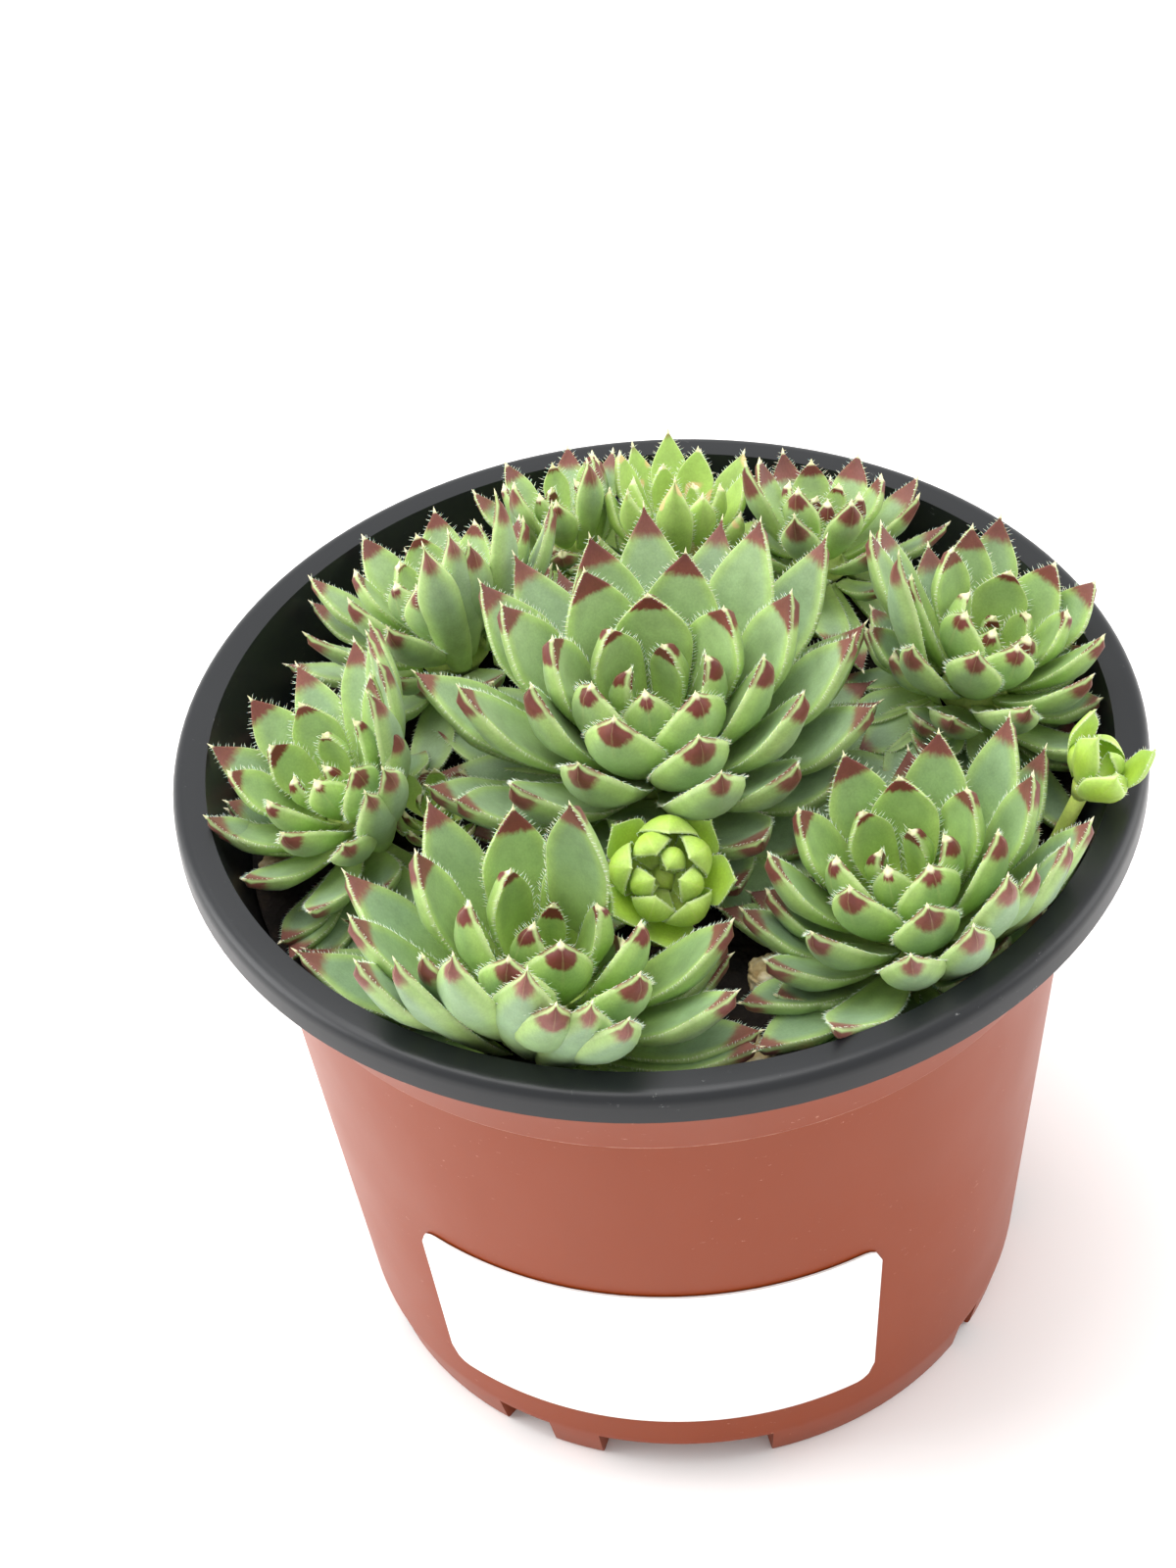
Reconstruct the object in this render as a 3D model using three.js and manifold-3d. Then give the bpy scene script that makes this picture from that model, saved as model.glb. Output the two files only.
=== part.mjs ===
// Hens and chicks (a Sempervivum colony) rooted in a round, thermoformed nursery pot.
//
// Millimetres, +Z up. The origin is the middle of the pot's base, on the surface that it stands on.
// The pot's label faces -Y. Azimuths in the tables are degrees, anticlockwise from +X seen from above.
import * as THREE from 'three';
import { mergeVertices } from 'three/addons/utils/BufferGeometryUtils.js';
import Module from 'manifold-3d';

const wasm = await Module();
wasm.setup();
const radians = THREE.MathUtils.degToRad;

// ---------------------------------------------------------------- driving dimensions

// Room between two pieces that touch on the real thing.
const GAP = 0.3;

const POT = {
  sides: 36,
  height: 80,
  rimRadius: 54,
  flangeWidth: 3.8,
  flangeThick: 1.5,
  lipDrop: 3.6,
  lipWall: 1.2,
  edgeRound: 1,
  wall: 1.2,
  collarFootRadius: 47,
  ledgeHeight: 64.6,
  ledgeWidth: 1.1,
  ledgeFall: 0.8,
  insideLift: 0.3,
  bodyFootRadius: 39.6,
  footHeight: 5,
  footRadius: 38.3,
  footRingRadius: 29,
  footRingSlant: 1.2,
  underside: 4,
  floorTop: 6,
  drainRadius: 3,
  drainCircle: 33.5,
};

// Channels under the foot ring, as [start, end] degrees from -Y towards +X, in each third of a turn.
const CHANNELS = [[11, 41], [57, 63], [92, 102]];
const CHANNEL_REPEATS = 3;
const CHANNEL_HEIGHT = 4.6;

// The stock label is 2 1/8 by 1 inch.
const LABEL = {
  width: 54, height: 25.4, thick: 0.5, corner: 2.5, cornerStops: [0.15, 0.8], low: 10.2, middle: -8.4,
  columns: 12,
};

const SOIL = { sides: 20, level: 68, holeDepth: 6, swell: 0.35, rings: [0, 14, 29, 43.5] };

// Pumice grit on the soil: place, radius and squash of each stone, with a finer ball for the big ones.
const STONES = [
  { at: [-43, -6], size: 2.3, flat: 0.6, detail: 1 },
  { at: [10.3, -29], size: 2.7, flat: 0.8, detail: 1 },
  { at: [6.9, -39.5], size: 3.1, flat: 0.6, detail: 1 },
  { at: [15.5, -37], size: 1.3, flat: 0.8, detail: 0 },
  { at: [44.2, 3], size: 1.4, flat: 0.8, detail: 0 },
];

// How near a leaf comes to the inside of the collar, the soil, a stone, and the wall of its space.
const CLEAR = { collar: 0.35, soil: 0.9, stone: 0.8, neighbour: 0.2 };

// Stems stand upright to this height, just out of the soil, and then lean to their rosettes.
const STEM_BEND = SOIL.level + 1;
const STEM_SIDES = 8;

// Growth that all the rosettes share. Angles are degrees from the rosette's axis, for the innermost
// leaf, and the powers spread them to the outermost. Leaves that face the pot's middle are longer, and
// some more leaves droop under the outermost.
const GROWTH = {
  firstLeaf: 2,
  under: 0.34,
  droop: 50,
  lowest: 1.1,
  rootAngle: 14,
  rootPower: 0.7,
  tipAngle: -12,
  tipPower: 0.85,
  azimuthPlay: 4,
  tipPlay: 4,
  lengthPlay: 0.05,
  fullLengthAt: 0.75,
  stretch: 0.35,
  stretchFrom: 12,
  axisDrop: 1.2,
  budShare: 0.15,
};

// One leaf: the stations along it, and its width, thickness and cupping as shares of the reach.
const LEAF = {
  stations: [0.32, 0.62, 0.82],
  youngStations: [0.4, 0.74],
  youngUntil: 0.78,
  widestAt: 0.62,
  rootWidth: 0.4,
  shoulder: 1.6,
  taper: 1.5,
  width: 0.34,
  budWidth: 0.45,
  widening: 0.11,
  fullWidthAt: 0.6,
  thickness: 0.078,
  rootThickness: 0.4,
  pointThickness: 0.45,
  cup: 0.12,
  budCup: 0.34,
  steepestRoot: 6,
  tightestTip: -75,
  heel: 2,
};

// The core that the leaves stand on: shares of the way down where its profile has a point.
const CORE = { stations: [1, 0.5, 0.15, 0], neck: 1.5, crown: 0.4 };

// The rosettes: the place of the heart, how far its axis leans towards +X and +Y, the first leaf's
// azimuth, the turn from leaf to leaf, the number of leaves, the longest leaf, the core's radius,
// the outermost leaf's angles at root and tip, the innermost leaf's share of the longest, the stem's
// radius, and the room that it takes from its neighbours. An offset has a ball of space instead.
const ROSETTES = {
  hen: {
    at: [-0.3, -2, 82], lean: [-2, -4], first: 182, turn: -136.8, leaves: 44, reach: 27, core: 5.5,
    root: 85, tip: 56, short: 0.42, stem: 3.2, room: 30, colour: '#7fa06a',
  },
  chick_front_left: {
    at: [-13.5, -33.5, 77], lean: [8, 5], first: 88, turn: 137.7, leaves: 35, reach: 25, core: 5.2,
    root: 88, tip: 68, short: 0.4, stem: 2.8, room: 24, colour: '#86a86c',
  },
  chick_front_right: {
    at: [25, -25.4, 77], lean: [-9, 3], first: 173, turn: -136.7, leaves: 37, reach: 22.5, core: 5,
    root: 81, tip: 55, short: 0.35, stem: 2.8, room: 22, colour: '#82a667',
  },
  chick_right: {
    at: [37.2, 8.6, 80], lean: [15.6, 2], first: 104, turn: 138.7, leaves: 34, reach: 19.5, core: 4.2,
    root: 83, tip: 57, short: 0.3, stem: 2.4, room: 18, colour: '#86ab69',
  },
  chick_left: {
    at: [-35.3, -4, 77.5], lean: [-21, -4], first: 341, turn: -138.4, leaves: 30, reach: 18, core: 4,
    root: 84, tip: 60, short: 0.38, stem: 2.4, room: 17, colour: '#8bb06c',
  },
  chick_left_back: {
    at: [-23.4, 23.6, 79], lean: [-11, 13.3], first: 199, turn: -136.7, leaves: 30, reach: 17, core: 4,
    root: 80, tip: 52, short: 0.35, stem: 2.4, room: 17, colour: '#84a96b',
  },
  chick_back: {
    at: [4.2, 33.8, 80.5], lean: [4, 10], first: 171, turn: -137.8, leaves: 20, reach: 14, core: 3.2,
    root: 66, tip: 30, short: 0.42, stem: 2, room: 13.5, under: 0.25, simple: true, colour: '#a3c66a',
  },
  chick_back_left: {
    at: [-9, 37, 80.5], lean: [-6, 14], first: 147, turn: -136.7, leaves: 20, reach: 12, core: 3,
    root: 84, tip: 54, short: 0.45, stem: 1.8, room: 12, under: 0.2, simple: true, colour: '#8aae6f',
  },
  chick_back_right: {
    at: [20.6, 31.4, 81], lean: [6.6, 18], first: 137, turn: 136.6, leaves: 24, reach: 14, core: 3.4,
    root: 82, tip: 54, short: 0.35, stem: 2, room: 14, under: 0.25, simple: true, colour: '#84aa6c',
  },
  offset_ball: {
    at: [-0.4, -23.4, 81.4], lean: [2, -42], first: 60, turn: 137.5, leaves: 15, reach: 8, core: 2,
    root: 88, tip: 34, budTip: -60, short: 0.5, stem: 1.1, foot: [-1.6, -20], wide: 0.6,
    lift: 0.35, ball: 7.3, under: 0, simple: true, colour: '#a9d05f',
  },
  offset_bud: {
    at: [46.2, -14.5, 82.9], lean: [26, -6], first: 20, turn: 137.5, leaves: 8, reach: 8.6, core: 1.5,
    root: 40, tip: 2, budTip: -25, short: 0.6, stem: 0.9, foot: [41.5, -13], wide: 0.58,
    lift: 0.4, ball: 5.6, overRim: true, under: 0, simple: true, colour: '#b2da62',
  },
  offset_low: {
    at: [-24.8, -4.6, 75], lean: [-6, -8], first: 30, turn: 137.5, leaves: 13, reach: 7, core: 2,
    root: 80, tip: 44, budTip: -30, short: 0.5, stem: 1.2, wide: 0.5,
    lift: 0.3, ball: 5.6, under: 0, simple: true, colour: '#8db86c',
  },
};

// How far above its heart the middle of a rosette's space lies, as a share of its reach.
const LIFT = 0.25;

// ---------------------------------------------------------------- solids

// Joins a geometry's shared points, drops its empty triangles and gives the solid.
function solid(geometry) {
  geometry.deleteAttribute('normal');
  geometry.deleteAttribute('uv');
  const joined = mergeVertices(geometry, 1e-4);
  const index = joined.index.array;
  const corners = [];
  for (let i = 0; i < index.length; i += 3) {
    const [a, b, c] = [index[i], index[i + 1], index[i + 2]];
    if (a !== b && b !== c && c !== a) corners.push(a, b, c);
  }
  return new wasm.Manifold(new wasm.Mesh({
    numProp: 3,
    vertProperties: new Float32Array(joined.attributes.position.array),
    triVerts: new Uint32Array(corners),
  }));
}

function geometryOf(manifold) {
  const mesh = manifold.getMesh();
  const geometry = new THREE.BufferGeometry();
  geometry.setAttribute('position', new THREE.BufferAttribute(mesh.vertProperties, 3));
  geometry.setIndex(new THREE.BufferAttribute(mesh.triVerts, 1));
  geometry.computeVertexNormals();
  return geometry;
}

// Turns a profile of [radius, height] pairs about Z.
function turned(profile, sides) {
  const points = profile.map(([radius, height]) => new THREE.Vector2(radius, height));
  return new THREE.LatheGeometry(points, sides).rotateX(Math.PI / 2);
}

function upright(radius, low, high, sides, x, y) {
  const height = high - low;
  return new THREE.CylinderGeometry(radius, radius, height, sides)
    .rotateX(Math.PI / 2)
    .translate(x, y, low + height / 2);
}

// A closed skin from one point, over rings of points that all have the same number of corners, to
// another point.
function ringSkin(start, rings, end) {
  const corners = rings[0].length;
  const positions = [start, ...rings.flat(), end].flatMap((p) => [p.x, p.y, p.z]);
  const at = (ring, k) => 1 + ring * corners + (k % corners);
  const last = rings.length - 1;
  const index = [];
  for (let k = 0; k < corners; k += 1) {
    index.push(0, at(0, k), at(0, k + 1));
    for (let ring = 0; ring < last; ring += 1) {
      index.push(at(ring, k), at(ring + 1, k), at(ring, k + 1));
      index.push(at(ring, k + 1), at(ring + 1, k), at(ring + 1, k + 1));
    }
    index.push(at(last, k), 1 + rings.length * corners, at(last, k + 1));
  }
  const geometry = new THREE.BufferGeometry();
  geometry.setAttribute('position', new THREE.Float32BufferAttribute(positions, 3));
  geometry.setIndex(index);
  return geometry;
}

// ---------------------------------------------------------------- pot

const flangeInner = POT.rimRadius - POT.flangeWidth;
const bodyTopRadius = POT.collarFootRadius - POT.ledgeWidth;
const ledgeLow = POT.ledgeHeight - POT.ledgeFall;
const collarInsideFoot = {
  radius: POT.collarFootRadius - POT.wall, height: POT.ledgeHeight + POT.insideLift,
};

// Outer radius of the pot's tapered body at a height below the ledge.
function bodyRadius(height) {
  const share = (height - POT.footHeight) / (ledgeLow - POT.footHeight);
  return POT.bodyFootRadius + (bodyTopRadius - POT.bodyFootRadius) * share;
}

// Inside radius of the collar at a height above the ledge.
function collarInside(height) {
  const { radius, height: foot } = collarInsideFoot;
  const slope = (flangeInner - radius) / (POT.height - POT.edgeRound - foot);
  return radius + (height - foot) * slope;
}

// A point at an azimuth measured from -Y towards +X, as the pot's foot and label are laid out.
function fromFront(radius, degrees, height) {
  const angle = radians(degrees);
  return new THREE.Vector3(radius * Math.sin(angle), -radius * Math.cos(angle), height);
}

function potProfile() {
  const { height, rimRadius, lipWall, wall, edgeRound, floorTop } = POT;
  const lipLow = height - POT.lipDrop;
  const underFlange = height - POT.flangeThick;
  const floorRadius = bodyRadius(floorTop) - wall;
  return [
    [0, POT.underside], [POT.footRingRadius, POT.underside], [POT.footRingRadius + POT.footRingSlant, 0],
    [POT.footRadius, 0], [POT.bodyFootRadius, POT.footHeight],
    [bodyTopRadius, ledgeLow], [POT.collarFootRadius, POT.ledgeHeight],
    [flangeInner + wall, underFlange], [rimRadius - lipWall, underFlange],
    [rimRadius - lipWall, lipLow], [rimRadius, lipLow],
    [rimRadius, height - edgeRound], [rimRadius - edgeRound, height],
    [flangeInner + edgeRound, height], [flangeInner, height - edgeRound],
    [collarInsideFoot.radius, collarInsideFoot.height],
    [bodyTopRadius - wall, ledgeLow + POT.insideLift],
    [floorRadius, floorTop + edgeRound], [floorRadius - edgeRound, floorTop],
    [0, floorTop],
  ];
}

// A block under one stretch of the foot ring, from inside it to outside it.
function channel(start, end) {
  const inner = POT.footRingRadius - 1;
  const outer = POT.bodyFootRadius + 2;
  const shape = new THREE.Shape();
  const from = radians(start) - Math.PI / 2;
  const to = radians(end) - Math.PI / 2;
  shape.absarc(0, 0, outer, from, to, false);
  shape.absarc(0, 0, inner, to, from, true);
  shape.closePath();
  const block = new THREE.ExtrudeGeometry(shape, {
    depth: CHANNEL_HEIGHT + 1, bevelEnabled: false, curveSegments: 3,
  });
  return block.translate(0, 0, -1);
}

function pot() {
  let shell = solid(turned(potProfile(), POT.sides));
  for (let third = 0; third < CHANNEL_REPEATS; third += 1) {
    const step = (third * 360) / CHANNEL_REPEATS;
    for (const [start, end] of CHANNELS) {
      shell = shell.subtract(solid(channel(start + step, end + step)));
    }
    const [wideStart, wideEnd] = CHANNELS[0];
    const drain = fromFront(POT.drainCircle, (wideStart + wideEnd) / 2 + step, 0);
    shell = shell.subtract(solid(upright(POT.drainRadius, 0, POT.floorTop + 2, 12, drain.x, drain.y)));
  }
  return geometryOf(shell);
}

// ---------------------------------------------------------------- label

// A thin rounded rectangle wrapped on the pot's tapered body.
function label() {
  const { width, height, thick, corner, low, middle, columns } = LABEL;
  const turn = (width / bodyRadius(low + height / 2)) * THREE.MathUtils.RAD2DEG;
  const columnInset = (across) => {
    const fromEnd = width / 2 - Math.abs(across);
    if (fromEnd >= corner) return 0;
    return corner - Math.sqrt(corner ** 2 - (corner - fromEnd) ** 2);
  };
  const stops = Array.from({ length: columns - 1 }, (_, k) => -width / 2 + (width * (k + 1)) / columns);
  const rounded = LABEL.cornerStops.flatMap((inset) => [-width / 2 + inset, width / 2 - inset]);
  const rings = [...stops, ...rounded].sort((a, b) => a - b).map((across) => {
    const degrees = middle + (across / width) * turn;
    const inset = columnInset(across);
    const bottom = low + inset;
    const top = low + height - inset;
    const near = (z) => bodyRadius(z) + GAP;
    return [
      fromFront(near(bottom), degrees, bottom), fromFront(near(bottom) + thick, degrees, bottom),
      fromFront(near(top) + thick, degrees, top), fromFront(near(top), degrees, top),
    ];
  });
  const centreOf = (ring) => ring[0].clone().add(ring[2]).divideScalar(2);
  return geometryOf(solid(ringSkin(centreOf(rings[0]), rings, centreOf(rings.at(-1)))));
}

// ---------------------------------------------------------------- soil and pumice

function soilHeight(x, y) {
  return SOIL.level + SOIL.swell * (Math.sin(x * 0.31 + 1) + Math.cos(y * 0.27 + x * 0.12));
}

// The potting mix fills the pot up to its collar, with a plain hole for each stem.
function soil(stems) {
  const floorRadius = bodyRadius(POT.floorTop) - POT.wall - GAP;
  const edge = collarInside(SOIL.level) - GAP;
  const floor = POT.floorTop + GAP;
  const top = [...SOIL.rings.slice(1).reverse(), 0].map((radius) => [radius, SOIL.level]);
  const profile = [
    [0, floor], [floorRadius - POT.edgeRound, floor], [floorRadius, floor + POT.edgeRound],
    [bodyTopRadius - POT.wall - GAP, ledgeLow + POT.insideLift + GAP],
    [collarInsideFoot.radius - GAP, collarInsideFoot.height + GAP],
    [edge, SOIL.level], ...top,
  ];
  const ground = turned(profile, SOIL.sides);
  const place = ground.attributes.position;
  for (let i = 0; i < place.count; i += 1) {
    const inner = Math.hypot(place.getX(i), place.getY(i)) < edge - 0.5;
    if (inner && place.getZ(i) > SOIL.level - 0.01) place.setZ(i, soilHeight(place.getX(i), place.getY(i)));
  }
  let body = solid(ground);
  for (const { x, y, radius } of stems) {
    const low = SOIL.level - SOIL.holeDepth;
    body = body.subtract(solid(upright(radius + GAP, low, SOIL.level + 3, STEM_SIDES, x, y)));
  }
  return geometryOf(body);
}

function stone({ at, size, flat, detail }, number) {
  const [x, y] = at;
  const rock = new THREE.IcosahedronGeometry(size, detail);
  const place = rock.attributes.position;
  for (let i = 0; i < place.count; i += 1) {
    const p = new THREE.Vector3().fromBufferAttribute(place, i);
    const lump = 1 + 0.12 * Math.sin(3.1 * p.x + 2 * number) * Math.cos(2.3 * p.y + number);
    place.setXYZ(i, p.x * lump, p.y * lump, p.z * lump * flat);
  }
  rock.computeBoundingBox();
  const low = soilHeight(x, y) + GAP;
  return geometryOf(solid(rock.translate(x, y, low - rock.boundingBox.min.z)));
}

// ---------------------------------------------------------------- leaves

// A seeded draw between -1 and 1 for one leaf and one of its traits.
function draw(leaf, trait) {
  const wave = Math.sin(leaf * 12.9898 + trait * 78.233) * 43758.5453;
  return 2 * (wave - Math.floor(wave)) - 1;
}

// A leaf's half width along it, as a share of the widest: a broad root, round shoulders and a
// drawn-out point.
function outline(t) {
  const { widestAt, rootWidth, shoulder, taper } = LEAF;
  if (t <= widestAt) return rootWidth + (1 - rootWidth) * Math.sin((Math.PI / 2) * (t / widestAt));
  return (1 - ((t - widestAt) / (1 - widestAt)) ** shoulder) ** taper;
}

function thicknessShare(t) {
  const { widestAt, rootThickness, pointThickness } = LEAF;
  if (t <= widestAt) return rootThickness + (1 - rootThickness) * (t / widestAt);
  return 1 + (pointThickness - 1) * ((t - widestAt) / (1 - widestAt));
}

// The turn that brings +Z onto a rosette's leaning axis, with the heart's place.
function frameOf({ at, lean }) {
  const axis = new THREE.Vector3(Math.tan(radians(lean[0])), Math.tan(radians(lean[1])), 1).normalize();
  const turn = new THREE.Quaternion().setFromUnitVectors(new THREE.Vector3(0, 0, 1), axis);
  return new THREE.Matrix4().compose(new THREE.Vector3(...at), turn, new THREE.Vector3(1, 1, 1));
}

// What one leaf grows like before it is moved for its neighbours.
function leafTraits(r, leaf) {
  const u = leaf / (r.leaves - 1);
  const share = r.short + (1 - r.short) * Math.sin((Math.PI / 2) * Math.min(1, u / GROWTH.fullLengthAt));
  const azimuth = r.first + r.turn * leaf + GROWTH.azimuthPlay * draw(leaf, 1);
  const [x, y] = r.at;
  const toMiddle = -(x * Math.cos(radians(azimuth)) + y * Math.sin(radians(azimuth)))
    / Math.max(GROWTH.stretchFrom, Math.hypot(x, y));
  const stretch = 1 + GROWTH.stretch * Math.min(1, u) * Math.max(0, toMiddle);
  const droop = GROWTH.droop * Math.max(0, u - 1);
  const budTip = r.budTip ?? GROWTH.tipAngle;
  return {
    u,
    azimuth,
    root: GROWTH.rootAngle + (r.root - GROWTH.rootAngle) * u ** GROWTH.rootPower + droop,
    tip: budTip + (r.tip - budTip) * u ** GROWTH.tipPower + 2 * droop + GROWTH.tipPlay * draw(leaf, 2),
    length: r.reach * share * stretch * (1 + GROWTH.lengthPlay * draw(leaf, 3)),
    radius: r.core * (GROWTH.budShare + (1 - GROWTH.budShare) * Math.sqrt(Math.min(1, u))),
    height: -r.core * GROWTH.axisDrop * Math.min(u, GROWTH.lowest),
  };
}

// The rings of one leaf, three corners each (both margins and the keel), with its heel and its point.
function leafShape(r, leaf, move, frame) {
  const traits = leafTraits(r, leaf);
  const length = traits.length * move.share;
  const root = radians(Math.max(LEAF.steepestRoot, traits.root - move.raise));
  const tip = radians(Math.max(LEAF.tightestTip, traits.tip - move.raise));
  const bend = Math.abs(tip - root) < 1e-3 ? 1e-3 : tip - root;
  const azimuth = radians(traits.azimuth + move.turn);
  const out = new THREE.Vector3(Math.cos(azimuth), Math.sin(azimuth), 0);
  const across = new THREE.Vector3(-Math.sin(azimuth), Math.cos(azimuth), 0);
  const up = new THREE.Vector3(0, 0, 1);
  const halfWidth = 0.5 * (r.wide ?? LEAF.width) * r.reach
    * Math.min(1, LEAF.budWidth + LEAF.widening * leaf)
    * Math.sin((Math.PI / 2) * Math.min(1, traits.length / r.reach / LEAF.fullWidthAt));
  const cup = LEAF.cup + (LEAF.budCup - LEAF.cup) * (1 - traits.u) ** 2;

  const middle = (t) => {
    const angle = root + bend * t;
    const outward = traits.radius + (length * (Math.cos(root) - Math.cos(angle))) / bend;
    const upward = traits.height + (length * (Math.sin(angle) - Math.sin(root))) / bend;
    return out.clone().multiplyScalar(outward).addScaledVector(up, upward);
  };
  const young = r.simple || traits.u < LEAF.youngUntil;
  const rings = (young ? LEAF.youngStations : LEAF.stations).map((t) => {
    const angle = root + bend * t;
    const facing = out.clone().multiplyScalar(-Math.cos(angle)).addScaledVector(up, Math.sin(angle));
    const half = halfWidth * outline(t);
    const deep = cup * half + LEAF.thickness * r.reach * thicknessShare(t);
    return [
      middle(t).addScaledVector(across, -half), middle(t).addScaledVector(across, half),
      middle(t).addScaledVector(facing, -deep),
    ].map((p) => p.applyMatrix4(frame));
  });
  const inward = out.clone().multiplyScalar(Math.sin(root)).addScaledVector(up, Math.cos(root));
  const heel = middle(0).addScaledVector(inward, -LEAF.heel).applyMatrix4(frame);
  return { heel, rings, point: middle(1).applyMatrix4(frame) };
}

// ---------------------------------------------------------------- room for the leaves

// Ways to move a crowded leaf, gentlest first: degrees raised, degrees turned, share of its length.
const MOVES = [];
[1, 0.93, 0.86, 0.79, 0.72, 0.65, 0.58, 0.51, 0.44].forEach((share, shorter) => {
  for (let raised = 0; raised <= 12; raised += 1) {
    for (const turns of [0, -1, 1, -2, 2]) {
      const cost = 5 * raised + 4 * Math.abs(turns) + 3 * shorter;
      MOVES.push({ cost, share, raise: 5 * raised, turn: 6 * turns });
    }
  }
});
MOVES.sort((a, b) => a.cost - b.cost);

// Directions to look along for a flat gap between a leaf and an offset, all round and level.
const LOOK_COUNT = 60;
const LOOKS = Array.from({ length: LOOK_COUNT }, (_, k) => {
  const z = 1 - (2 * k + 1) / LOOK_COUNT;
  const angle = radians(137.5 * k);
  return new THREE.Vector3(Math.cos(angle), Math.sin(angle), 0).multiplyScalar(Math.sqrt(1 - z * z)).setZ(z);
});
const LEVEL_LOOKS = Array.from({ length: 24 }, (_, k) => (
  new THREE.Vector3(Math.cos(radians(15 * k)), Math.sin(radians(15 * k)), 0)));

// The middle of a rosette's space, above its heart along its axis.
function middleOf(r) {
  return new THREE.Vector3(0, 0, (r.lift ?? LIFT) * r.reach).applyMatrix4(frameOf(r));
}

// Where a rosette's stem joins its core.
function stemTopOf(r) {
  return new THREE.Vector3(0, 0, -r.core * GROWTH.axisDrop).applyMatrix4(frameOf(r));
}

// Where a rosette's stem enters the soil.
function stemOf(r) {
  const under = stemTopOf(r);
  const [x, y] = r.foot ?? [under.x, under.y];
  return { x, y, radius: r.stem };
}

function namesBeside(name, isOffset) {
  return Object.keys(ROSETTES).filter((other) => (
    other !== name && Boolean(ROSETTES[other].ball) === isOffset
  ));
}

// The upright walls between one rosette and each of the others: a point is inside while every
// normal . point stays under its limit.
function wallsOf(name) {
  const own = ROSETTES[name];
  if (own.ball) return [];
  const here = middleOf(own);
  return namesBeside(name, false).map((other) => {
    const theirs = ROSETTES[other];
    const normal = middleOf(theirs).sub(here).setZ(0);
    const apart = normal.length();
    normal.divideScalar(apart);
    const reachOut = (apart ** 2 + own.room ** 2 - theirs.room ** 2) / (2 * apart);
    return { normal, limit: normal.dot(here) + reachOut - CLEAR.neighbour };
  });
}

// The balls and the stems of the offsets beside a rosette.
function offsetsOf(name) {
  return namesBeside(name, true).map((other) => {
    const theirs = ROSETTES[other];
    const { x, y, radius } = stemOf(theirs);
    const foot = new THREE.Vector3(x, y, STEM_BEND);
    const slope = stemTopOf(theirs).sub(foot);
    slope.divideScalar(slope.z);
    return { middle: middleOf(theirs), ball: theirs.ball + GAP, foot, slope, stem: radius + GAP + 0.1 };
  });
}

// Whether some flat gap parts all the points from each offset's ball and from its stem.
function partsFrom(points, offsets) {
  return offsets.every(({ middle, ball, foot, slope, stem }) => {
    const fromBall = LOOKS.some((look) => points.every((p) => look.dot(p) - look.dot(middle) > ball));
    return fromBall && LEVEL_LOOKS.some((look) => points.every((p) => (
      look.x * (p.x - foot.x - slope.x * (p.z - foot.z))
      + look.y * (p.y - foot.y - slope.y * (p.z - foot.z)) > stem)));
  });
}

function isClear(p, walls, r) {
  const overRim = r.overRim && p.z > POT.height + 2 * GAP;
  if (!overRim && Math.hypot(p.x, p.y) > collarInside(p.z) - CLEAR.collar) return false;
  if (Math.max(Math.abs(p.x), Math.abs(p.y)) > POT.rimRadius - GAP) return false;
  if (p.z < SOIL.level + 2 * SOIL.swell + CLEAR.soil) return false;
  for (const { at: [x, y], size } of STONES) {
    if (Math.hypot(p.x - x, p.y - y, p.z - SOIL.level - size) < size + CLEAR.stone) return false;
  }
  if (r.ball && p.distanceTo(middleOf(r)) > r.ball) return false;
  return walls.every(({ normal, limit }) => normal.dot(p) < limit);
}

// The corners of a leaf beyond its heel, with the points half way between its rings.
function testPoints({ rings, point }) {
  const ends = [...rings, rings[0].map(() => point)];
  const halfway = ends.slice(1).flatMap((ring, k) => ring.map((p, corner) => (
    p.clone().lerp(ends[k][corner], 0.5))));
  return [...rings.flat(), point, ...halfway];
}

// The leaf in the gentlest move that keeps it in its own space, or nothing if it has no room.
function placedLeaf(r, leaf, frame, walls, offsets) {
  for (const move of MOVES) {
    const shape = leafShape(r, leaf, move, frame);
    const points = testPoints(shape);
    if (points.every((p) => isClear(p, walls, r)) && partsFrom(points, offsets)) return shape;
  }
  return null;
}

// ---------------------------------------------------------------- rosettes

function ringAt({ x, y, z }, radius) {
  return Array.from({ length: STEM_SIDES }, (_, k) => {
    const angle = (-2 * Math.PI * k) / STEM_SIDES;
    return new THREE.Vector3(x + radius * Math.cos(angle), y + radius * Math.sin(angle), z);
  });
}

// The short axis that the leaves stand on, with the stem or runner down into the soil.
function coreAndStem(r, frame) {
  const bottom = -r.core * GROWTH.axisDrop;
  const sides = CORE.stations.map((u) => [
    r.core * (GROWTH.budShare + (1 - GROWTH.budShare) * Math.sqrt(u)), bottom * u,
  ]);
  const profile = [[0, bottom - CORE.neck], [r.stem, bottom - CORE.neck], ...sides, [0, CORE.crown]];
  const core = solid(turned(profile, STEM_SIDES).applyMatrix4(frame));
  const { x, y, radius } = stemOf(r);
  const low = new THREE.Vector3(x, y, SOIL.level - SOIL.holeDepth + GAP);
  const top = stemTopOf(r);
  const rings = [ringAt(low, radius), ringAt({ x, y, z: STEM_BEND }, radius), ringAt(top, radius)];
  const end = top.clone().setZ(top.z + radius / 2);
  return core.add(solid(ringSkin(low, rings, end)));
}

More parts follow.
